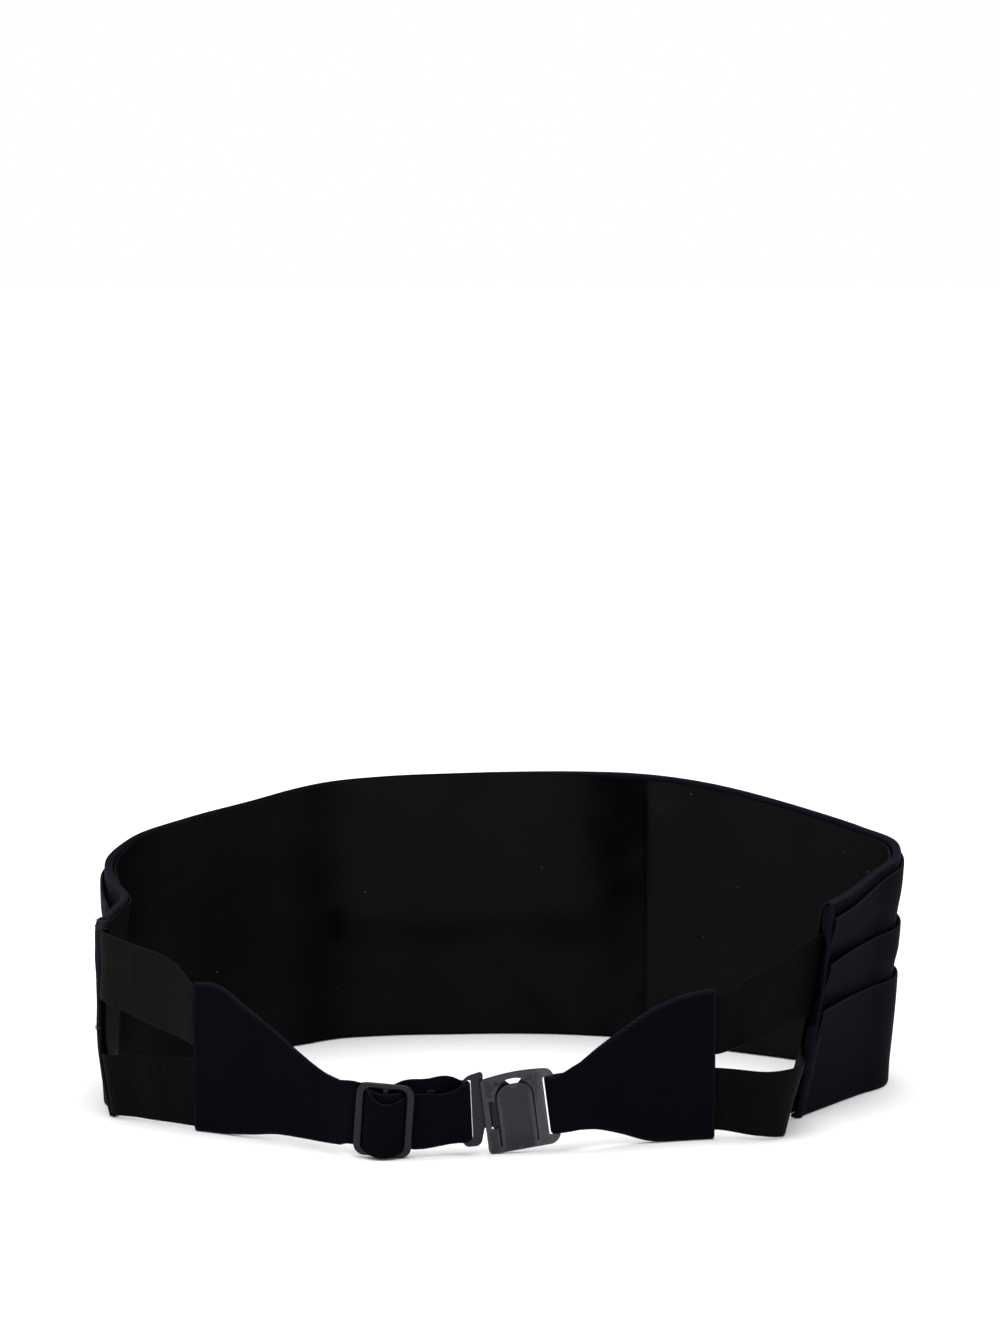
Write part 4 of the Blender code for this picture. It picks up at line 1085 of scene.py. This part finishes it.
def hook_form(x, z):
    """How far the hook plate's tongue stands proud, crowned across its middle."""
    reach = TONGUE_GAP / 2
    if not TONGUE_LEFT - reach < x < TONGUE_RIGHT + reach or z >= TONGUE_HIGH + reach:
        return 0.0
    lift = float(smooth_step(z, TONGUE_LOW - 0.001, TONGUE_LOW + 0.006))
    across = min(1.0, abs(x - (TONGUE_LEFT + TONGUE_RIGHT) / 2) / (TONGUE_WIDTH / 2))
    return lift * (TONGUE_RAISE + TONGUE_CROWN * (1 - across**2))


def split_long(outline):
    """The same outline with its long sides cut into steps."""
    points = []
    for start, finish in zip(outline, outline[1:] + outline[:1]):
        count = max(1, round(math.dist(start, finish) / OUTLINE_STEP))
        for k in range(count):
            points.append(tuple(a + (b - a) * k / count for a, b in zip(start, finish)))
    return points


def bulge_of(x, z):
    """How far the hook plate's upper edge rises above a straight one."""
    side = min(1.0, abs(x) / (HOOK_WIDTH / 2))
    return HOOK_TOP_BULGE * (1 - side**2) * float(smooth_step(z, HOOK_HEIGHT / 4, HOOK_HEIGHT / 2))


def make_back_leaf(hook, look):
    """The hook plate's back leaf, which closes the tongue's side slits to the light."""
    left, right = TONGUE_LEFT - BACK_LEAF_SIDE, TONGUE_RIGHT + BACK_LEAF_SIDE
    low = TONGUE_LOW - BACK_LEAF_SIDE
    middle = (TONGUE_LEFT + TONGUE_RIGHT) / 2 + BACK_LEAF_DIP_ASIDE
    outline = [(left, low), (right, low)]
    for x in np.linspace(right, left, 41):
        dip = BACK_LEAF_DIP * float(bump_at(x, middle, BACK_LEAF_DIP_HALF))
        outline.append((float(x), TONGUE_HIGH + BACK_LEAF_HIGH - dip))
    make_plate("clasp_back_leaf", None, hook, BACK_LEAF_OUT, BACK_LEAF_WALL, outline, (), look, 0.0001)


def strap_slot(left, right, rise, radius):
    half = (STRAP_WIDTH + SLOT_SLACK) / 2
    return rounded_outline(left, right, rise - half, rise + half, [radius] * 4, steps=5)


def make_hook(axes, look):
    half_width = HOOK_WIDTH / 2
    half_height = HOOK_HEIGHT / 2
    radii = [share * PLATE_CORNER for share in HOOK_CORNERS]
    outer = rounded_outline(-half_width, half_width, -half_height, half_height, radii)
    outer = [(x, z + bulge_of(x, z)) for x, z in split_long(outer)]
    slot_left = HOOK_SLOT_LEFT + HOOK_SLOT_NARROWER
    holes = tongue_opening(), strap_slot(slot_left, HOOK_SLOT_RIGHT, HOOK_SLOT_RISE, STRAP_SLOT / 3)
    make_plate(
        "clasp_hook_plate", "clasp_hook", axes, 0.0, CLASP_WALL, outer, holes, look, 0.00035, hook_form,
    )


def make_eye(axes, hook, look):
    half_width = EYE_WIDTH / 2
    half_height = EYE_HEIGHT / 2
    body_right = half_width - EYE_SIDE_BACK
    square = rounded_outline(-half_width, body_right, -half_height, half_height, EYE_CORNERS, steps=8)
    outer = []
    for x, z in split_long(square):
        back = EYE_FOOT_BACK * float(smooth_step(-z, 0.006, half_height)) * (x > 0)
        slant = EYE_TOP_SLANT * (body_right - x) / (body_right + half_width)
        outer.append((x - back, z - slant * float(smooth_step(z, 0.004, half_height))))
    slot_left = STRAP_BAR - half_width
    slot = strap_slot(slot_left, slot_left + STRAP_SLOT - EYE_SLOT_NARROWER, 0.0, STRAP_SLOT / 4)
    lip_middle = (NOTCH_LEFT + NOTCH_RIGHT) / 2
    lip_half = NOTCH_HEIGHT / 2 - CLEARANCE
    lip_low = -NOTCH_DROP - lip_half
    lip_high = -NOTCH_DROP + lip_half
    nose_low = axes.flat(hook.at(lip_middle + LIP_WIDTH / 2, lip_low, 0.0))
    nose_high = axes.flat(hook.at(lip_middle + LIP_WIDTH / 2, lip_high, 0.0))
    before = [point for point in outer if point[0] > 0 and point[1] < nose_low[1]]
    right_side = outer.index(before[-1]) + 1
    after = outer.index([point for point in outer if point[0] > 0 and point[1] > nose_high[1]][0])
    outline = outer[:right_side] + [
        (body_right, nose_low[1]), nose_low, nose_high, (body_right, nose_high[1]),
    ] + outer[after:]
    make_plate(
        "clasp_eye_plate", "clasp_eye", axes, EYE_OUT, CLASP_WALL, outline, (slot,), look, 0.0004,
    )
    lip_left, lip_right = lip_middle - LIP_WIDTH / 2, lip_middle + LIP_WIDTH / 2
    lip = rounded_outline(lip_left, lip_right, lip_low, lip_high, [0.0003] * 4, steps=3)
    make_plate("clasp_eye_lip", None, hook, EYE_OUT / 2, 2 * CLASP_WALL, lip, (), look, 0.0003)


# Rolled ends and stitches

def make_end_roll(name, panel, side, table, look):
    """The pleated cloth's end, rolled inward: an upright roll over the pleats' edges.
    The table has, from the floor up, the share of the height, the middle's way out, half the
    roll's width, its middle's way in from the end and half its depth, in millimetres."""
    tall, run = (panel.height[0], panel.run[0]) if side < 0 else (panel.height[-1], panel.run[-1])
    angles = 2 * math.pi * np.arange(ROLL_TURNS) / ROLL_TURNS
    rings, uvs = [], []
    for share, *sizes in smooth_column(table, ROLL_FINE):
        out, half, back, depth = (size / 1000 for size in sizes)
        z = min(max(share * tall, 0.0004), tall)
        here, along, outward = panel.end_axes(side, out, z)
        wobble = 1 + 0.05 * np.sin(share * 41 + angles * 2)
        rings.append([
            here + outward * (math.cos(angle) * half * swell)
            + along * (math.sin(angle) * depth * swell - back)
            for angle, swell in zip(angles, wobble)
        ])
        uvs.append([(run + side * angle * half, z) for angle in angles])
    rings = np.array(rings)
    # Painted light and shade: lighter on the roll's half that faces out, darker on the half turned in
    edge = np.broadcast_to(0.12 + 0.43 * np.clip(np.cos(angles), 0, 1), rings.shape[:2])
    return mesh_from_rings(name, rings, uvs, look, edge)


def make_threads(name, lines, thickness, look):
    """Sewn threads: thin round cords through lines of points, joined as one piece."""
    bm = bmesh.new()
    angles = [2 * math.pi * n / THREAD_SIDES for n in range(THREAD_SIDES)]
    for line in lines:
        line = [point + Vector(SHIFT) for point in line]
        rings = []
        for k, point in enumerate(line):
            onward = (line[min(k + 1, len(line) - 1)] - line[max(k - 1, 0)]).normalized()
            aside = onward.orthogonal().normalized()
            across = onward.cross(aside)
            swell = thickness / 2 * (0.55 if k in (0, len(line) - 1) else 1.0)
            rings.append([
                bm.verts.new(point + (aside * math.cos(a) + across * math.sin(a)) * swell) for a in angles
            ])
        for near, far in zip(rings, rings[1:]):
            for a, b, c, d in zip(near, near[1:] + near[:1], far[1:] + far[:1], far):
                bm.faces.new((a, b, c, d))
        bm.faces.new(rings[0][::-1])
        bm.faces.new(rings[-1])
    return dress(name, mesh_of(name, bm), look)


def wound_lines(panel, side, share, out, half, depth, count, pitch):
    """Threads wound round the panel's end, count of them from a share of its height down."""
    rng = np.random.default_rng(77 + int(share * 100))
    lines = []
    for n in range(count):
        z = share * panel.height[0 if side < 0 else -1] - n * pitch
        here, along, outward = panel.end_axes(side, out, z)
        tilt, slip = rng.uniform(-0.0005, 0.0005), rng.uniform(-0.0002, 0.0002)
        lines.append([
            here + outward * (math.cos(a) * half + slip) + along * (math.sin(a) * depth + slip)
            + Vector((0.0, 0.0, tilt * math.cos(a)))
            for a in np.linspace(-0.25 * math.pi, 1.25 * math.pi, 11)
        ])
    return lines


def stitch_lines(strip):
    """Short upright stitches on the front of a strap, where its end is fixed."""
    middle = (strip.low + strip.high) / 2
    lines = []
    for n in range(STITCH_COUNT):
        at = STITCH_X + n * STITCH_PITCH
        distance = np.abs(middle[:, 0] - at) + (strip.side[:, 1] > -0.5) * 1.0
        station = int(np.argmin(distance))
        side = Vector(strip.side[station])
        base = Vector((at, middle[station, 1], STITCH_Z)) + side * (STRAP_WALL / 2 + 0.00005)
        lines.append([
            base + Vector((0.0, 0.0, STITCH_LENGTH * t)) + side * (0.00014 * math.sin(math.pi * (t + 0.5)))
            for t in np.linspace(-0.5, 0.5, 5)
        ])
    return lines


# Materials

class Look:
    """A material's node tree, built from small fields of numbers over the surface."""

    def __init__(self, name, **sockets):
        self.material = bpy.data.materials.new(name)
        self.material.use_nodes = True
        self.tree = self.material.node_tree
        self.shader = self.tree.nodes["Principled BSDF"]
        for socket, value in sockets.items():
            self.shader.inputs[socket.replace("_", " ")].default_value = value
        self.uv = self.node("UVMap", uv_map="UVMap")
        self.run = self.node("SeparateXYZ", {"Vector": self.uv})
        self.rise = self.run.node.outputs["Y"]

    def node(self, kind, inputs=(), output=0, **settings):
        made = self.tree.nodes.new("ShaderNode" + kind)
        for name, value in settings.items():
            setattr(made, name, value)
        for name, value in dict(inputs).items():
            socket = made.inputs[name]
            if isinstance(value, bpy.types.NodeSocket):
                self.tree.links.new(value, socket)
            else:
                socket.default_value = value
        return made.outputs[output]

    def math(self, operation, a, b=0.0, c=0.0):
        return self.node("Math", {0: a, 1: b, 2: c}, operation=operation)

    def add(self, base, *terms):
        """The sum of weighted fields, given as (field, weight) pairs, and of a base number."""
        total = 0.0
        for field, weight in terms:
            total = self.math("MULTIPLY_ADD", field, weight, total)
        return self.math("ADD", total, base) if base else total

    def noise(self, scale, stretch=(1, 1, 1), detail=3.0):
        """Uneven values of about -0.5 to 0.5 over the UVs, scale to the metre."""
        place = self.node("VectorMath", {0: self.uv, 1: stretch}, operation="MULTIPLY")
        field = self.node("TexNoise", {"Vector": place, "Scale": scale, "Detail": detail})
        return self.math("SUBTRACT", field, 0.5)

    def grain(self, scale, detail):
        """Uneven values of 0 to 1 through the piece itself."""
        place = self.node("TexCoord", output="Object")
        return self.node("TexNoise", {"Vector": place, "Scale": scale, "Detail": detail})

    def edge(self):
        """The field that the piece's mesh carries for its look: a painted highlight on the taffeta's folds
        and rolled edges, painted shade on the lining, a paler tone on the elastics' selvages.
        """
        return self.node("Attribute", output="Fac", attribute_name="edge")

    def ribs(self, along, pitch, drift=0.0):
        """A wave of -1 to 1 along a UV direction."""
        place = self.math("ADD", along, drift)
        return self.math("SINE", self.math("MULTIPLY", place, 2 * math.pi / pitch))

    def over(self, field, low, high):
        """0 below low and 1 above high, smooth between."""
        return self.node("MapRange", {0: field, 1: low, 2: high}, interpolation_type="SMOOTHSTEP")

    def mix(self, factor, one, other):
        return self.node("Mix", {0: factor, 6: one, 7: other}, output=2, data_type="RGBA")

    def colour(self, factor, tones, lighter=1.0, specks=None):
        dark, light = ([c * lighter for c in tone] for tone in tones)
        mixed = self.mix(factor, (*dark, 1), (*light, 1))
        if specks is not None:
            mixed = self.mix(specks, mixed, (*LINT_TONE, 1))
        self.link("Base Color", mixed)

    def link(self, socket, field):
        self.tree.links.new(field, self.shader.inputs[socket])

    def bump(self, distance, strength, *terms):
        settings = {"Height": self.add(0.0, *terms), "Distance": distance, "Strength": strength}
        self.link("Normal", self.node("Bump", settings))


def navy_cloth_look(name, seed, lighter, panel_painted_light, fold_highlight_weight):
    """A ribbed navy taffeta: fine ribs that run up the cloth, a painted highlight where it folds and on its
    rolled edges and, on the panel, painted light towards its left end and on its folds towards its right
    end."""
    look = Look(name, Specular_IOR_Level=0.008, Sheen_Weight=0.002, Sheen_Roughness=0.5)
    edge = look.edge()
    drift = look.noise(60 + seed, detail=2.0)
    ribs = look.ribs(look.run, RIB_PITCH, look.math("MULTIPLY", drift, 0.0006))
    threads = look.noise(2600, (1, 0.35, 1), detail=2.0)
    broad = look.noise(22 + seed, detail=4.0)
    # The slanted marks are stitching; as hatch they show only within the painted highlight on rolled edges
    slanted = look.math("ADD", look.run, look.math("MULTIPLY", look.rise, 0.55))
    marks = look.ribs(slanted, HATCH_PITCH, look.math("MULTIPLY", drift, 0.0016))
    hatch = look.math("MULTIPLY", edge, marks)
    # Painted light towards the panel's left end, and a painted highlight on its folds towards the right end
    left = look.over(look.run, 0.05, 0.0)
    right = look.math("MULTIPLY", edge, look.over(look.run, 0.40, 0.46))
    shade = look.add(
        0.13, (edge, fold_highlight_weight), (marks, 0.03), (hatch, 0.28), (threads, 0.20), (broad, 0.16),
        (left, panel_painted_light), (right, panel_painted_light * 0.45),
    )
    look.colour(shade, NAVY_TONES, lighter)
    look.link("Roughness", look.add(0.62, (ribs, 0.03), (broad, 0.12), (threads, 0.10)))
    look.bump(0.00008, 0.9, (ribs, 0.6), (threads, 0.7))
    return look.material


def lining_look():
    """A smooth black satin with faint crossing threads and a few specks of lint, darker and less shiny
    where the mesh's field paints shade on it.
    """
    look = Look("lining satin")
    # Painted shade: the mesh's edge field darkens the satin's colour and lowers its specular
    painted_shade = look.edge()
    drift = look.noise(45, detail=2.0)
    warp = look.noise(2300, (1, 0.08, 1), detail=1.0)
    weft = look.noise(2300, (0.08, 1, 1), detail=1.0)
    broad = look.noise(14, detail=3.0)
    cells = {"Vector": look.uv, "Scale": LINT_SCALE}
    specks = look.node("TexVoronoi", cells, output="Distance")
    chance = look.node("SeparateColor", {0: look.node("TexVoronoi", cells, output="Color")})
    lint = look.math("MULTIPLY", look.over(specks, 0.16, 0.07), look.over(chance, 0.984, 0.990))
    shade = look.add(0.70, (warp, 0.25), (weft, 0.35), (broad, 0.4), (drift, 0.1), (painted_shade, -0.75))
    look.colour(shade, LINING_TONES, specks=lint)
    look.link("Specular IOR Level", look.math("MULTIPLY_ADD", painted_shade, -0.030, 0.040))
    look.link("Roughness", look.add(0.50, (broad, 0.10), (weft, 0.08)))
    look.bump(0.00003, 0.5, (warp, 0.5), (weft, 0.7))
    return look.material


def elastic_look(name, lighter):
    """Woven elastic: fine uneven ribs across the band, smooth along its selvages."""
    # lighter is the painted light of this elastic's copy, on its colour, specular and sheen
    shine = {"Specular_IOR_Level": 0.05 * lighter, "Sheen_Weight": 0.01 * lighter}
    look = Look(name, **shine, Sheen_Roughness=0.5)
    edge = look.edge()
    drift = look.noise(120, (1, 0.15, 1), detail=2.0)
    fine = look.ribs(look.run, WEBBING_THREAD, look.math("MULTIPLY", drift, 0.0007))
    streaks = look.noise(620, (1, 0.12, 1), detail=3.0)
    threads = look.noise(3000, (0.5, 1, 1), detail=1.0)
    shade = look.add(0.30, (fine, 0.10), (streaks, 1.1), (threads, 0.25), (edge, 0.25))
    look.colour(shade, ELASTIC_TONES, lighter)
    look.link("Roughness", look.add(0.62, (streaks, 0.15), (threads, 0.1)))
    look.bump(0.00010, 0.8, (fine, 0.35), (streaks, 0.8), (threads, 0.3))
    return look.material


def metal_look(name, tone, roughness, painted_light_from=1.0, painted_light_to=2.0):
    """Dark plated metal, softly brushed, a little brighter where its edges are rubbed, and with a painted
    highlight over all of it past a place across the waist."""
    look = Look(name, Metallic=1.0)
    brushed = look.grain(900.0, 3.0)
    clouds = look.grain(140.0, 3.0)
    rubbed = look.over(look.node("NewGeometry", output="Pointiness"), 0.52, 0.60)
    across = look.node("SeparateXYZ", {"Vector": look.node("TexCoord", output="Object")})
    # Painted highlight: brighter all over past a place across the waist
    painted_highlight = look.over(across, painted_light_from, painted_light_to)
    shade = look.add(0.0, (rubbed, 0.30), (clouds, 0.17), (brushed, 0.12), (painted_highlight, 0.45))
    look.colour(shade, ([c * METAL_DARK for c in tone], [c * METAL_LIGHT for c in tone]))
    look.link("Roughness", look.add(roughness, (clouds, 0.12), (brushed, 0.08)))
    look.bump(0.00002, 0.35, (brushed, 0.5), (clouds, 0.5))
    return look.material


def thread_look():
    look = Look("navy thread", Specular_IOR_Level=0.2, Roughness=0.6)
    look.colour(look.grain(2500.0, 2.0), THREAD_TONES)
    return look.material


def floor_look():
    look = Look("white paper", Roughness=0.9, Specular_IOR_Level=0.1)
    look.colour(look.grain(400.0, 2.0), FLOOR_TONES)
    return look.material


# Stage, light and camera

def make_floor(look):
    half = FLOOR_HALF
    mesh = bpy.data.meshes.new("floor")
    corners = [(-half, -half, 0), (half, -half, 0), (half, half, 0), (-half, half, 0)]
    mesh.from_pydata(corners, [], [(0, 1, 2, 3)])
    mesh.materials.append(look)
    floor = bpy.data.objects.new("floor", mesh)
    bpy.context.scene.collection.objects.link(floor)


def make_world():
    world = bpy.data.worlds.new("studio")
    world.use_nodes = True
    bpy.context.scene.world = world
    nodes, links = world.node_tree.nodes, world.node_tree.links
    background = nodes["Background"]
    place = nodes.new("ShaderNodeTexCoord")
    split = nodes.new("ShaderNodeSeparateXYZ")
    ramp = nodes.new("ShaderNodeValToRGB")
    stops = (WORLD_WHITE_TO, (1.0, 1.0, 1.0)), (WORLD_DIM_FROM, WORLD_DIM)
    for element, (position, tone) in zip(ramp.color_ramp.elements, stops):
        element.position = position
        element.color = (*tone, 1.0)
    links.new(place.outputs["Generated"], split.inputs[0])
    links.new(split.outputs["Z"], ramp.inputs[0])
    links.new(ramp.outputs[0], background.inputs["Color"])
    background.inputs["Strength"].default_value = 1.0


def make_light(kind, name, place, energy, size):
    data = bpy.data.lights.new(name, kind)
    data.energy = energy
    toward = Vector((0.0, 0.0, 0.0))
    if kind == "SUN":
        data.angle = size
    else:
        data.shape = "RECTANGLE"
        data.size = data.size_y = size
        toward = Vector(SOFTBOX_AIM)
    lamp = bpy.data.objects.new(name, data)
    lamp.location = place
    lamp.rotation_euler = (toward - Vector(place)).to_track_quat("-Z", "Y").to_euler()
    bpy.context.scene.collection.objects.link(lamp)


def make_camera():
    data = bpy.data.cameras.new("camera")
    data.sensor_width = SENSOR
    data.lens = LENS
    camera = bpy.data.objects.new("camera", data)
    back = CAMERA_DISTANCE * math.cos(CAMERA_ELEVATION)
    high = CAMERA_DISTANCE * math.sin(CAMERA_ELEVATION)
    camera.location = Vector(SHIFT) + Vector((0.0, -back, high))
    camera.rotation_euler = (math.pi / 2 - CAMERA_PITCH, 0.0, 0.0)
    bpy.context.scene.collection.objects.link(camera)
    bpy.context.scene.camera = camera


# Everything


panel = Panel(PANEL_FINE)
# The panel's copy paints light towards its left end; the tabs' copy paints a stronger highlight on folds
# and rolled edges
outer_look = navy_cloth_look("navy taffeta panel", 0, 1.0, 0.80, 0.35)
tab_look = navy_cloth_look("navy taffeta tabs", 3, 0.84, 0.0, 0.58)
satin_look = lining_look()
thread = thread_look()

front, front_length = make_pleated_front(panel, outer_look)
lining = make_lining(panel, satin_look)
right_roll = make_end_roll("right_end_roll", panel, 1, RIGHT_END_ROLL, outer_look)
left_roll = make_end_roll("left_end_roll", panel, -1, LEFT_END_ROLL, outer_look)
knots = [line for knot in END_KNOTS for line in wound_lines(panel, -1, *knot)]
end_stitches = make_threads("left_end_stitches", knots, KNOT_THREAD, thread)

slider_size = SLIDER_WIDTH, SLIDER_HEIGHT, SLIDER_CORNER
slider_place = standing_axes(SLIDER_PLACE, *slider_size, SLIDER_TURN, SLIDER_TILT)
hook_size = HOOK_WIDTH, HOOK_HEIGHT, HOOK_CORNERS[0] * PLATE_CORNER
hook_place = standing_axes(HOOK_PLACE, *hook_size, CLASP_TURN, HOOK_TILT)
eye_place = eye_axes(hook_place)
left_strap = [
    *strap_through(slider_place, OVER_SLIDER),
    *eye_loop(eye_place),
    strap_station(eye_place, EYE_BAR_MIDDLE - EYE_BACK[0], EYE_OUT - EYE_BACK[1], EYE_BACK[2]),
    *strap_through(slider_place, ROUND_CENTRE_BAR),
]
right_strap = bar_loop(hook_place, HOOK_BAR_MIDDLE, 0.0, HOOK_SLOT_RISE, -1)
tail = hook_place.along * STRAP_TAIL + hook_place.out * (CLASP_WALL / 2)
back = right_strap[-1]
right_strap.append((*(Vector(back[:3]) + tail), *(Vector(back[3:6]) + tail), STRAP_WALL))

tabs = (
    ("tab_left_cloth", "tab_left", LEFT_TAB, LEFT_STRAP_RISE, left_strap, 41),
    ("tab_right_cloth", "tab_right", RIGHT_TAB, RIGHT_STRAP_RISE, right_strap, 51),
)
for name, node, table, rise, strap, seed in tabs:
    tab, strip = make_tab(name, node, table, rise, strap, tab_look, seed)
    sewn = []
    if name == "tab_left_cloth":
        sewn = [make_threads("strap_bartack", stitch_lines(strip), STITCH_THREAD, thread)]

for number, (name, side, *shares) in enumerate(ELASTICS):
    webbing_look = elastic_look(name.replace("_", " "), ELASTIC_PAINTED_LIGHT[number])
    table, rise = (LEFT_TAB, LEFT_STRAP_RISE) if side < 0 else (RIGHT_TAB, RIGHT_STRAP_RISE)
    webbing, strip = make_elastic(
        name, panel, table, rise, side, shares[:2], shares[2:], webbing_look, 61 + number,
    )

make_slider(slider_place, metal_look("slider metal", SLIDER_METAL, 0.40))
hook_metal = metal_look("hook metal", HOOK_METAL, 0.36, *(place + SHIFT[0] for place in HOOK_PAINTED_LIGHT))
make_hook(hook_place, hook_metal)
make_back_leaf(hook_place, hook_metal)
make_eye(eye_place, hook_place, metal_look("eye metal", EYE_METAL, 0.38))

make_floor(floor_look())
make_world()
for light in LIGHTS:
    make_light(*light)
make_camera()
bpy.context.scene.view_settings.view_transform = "Standard"
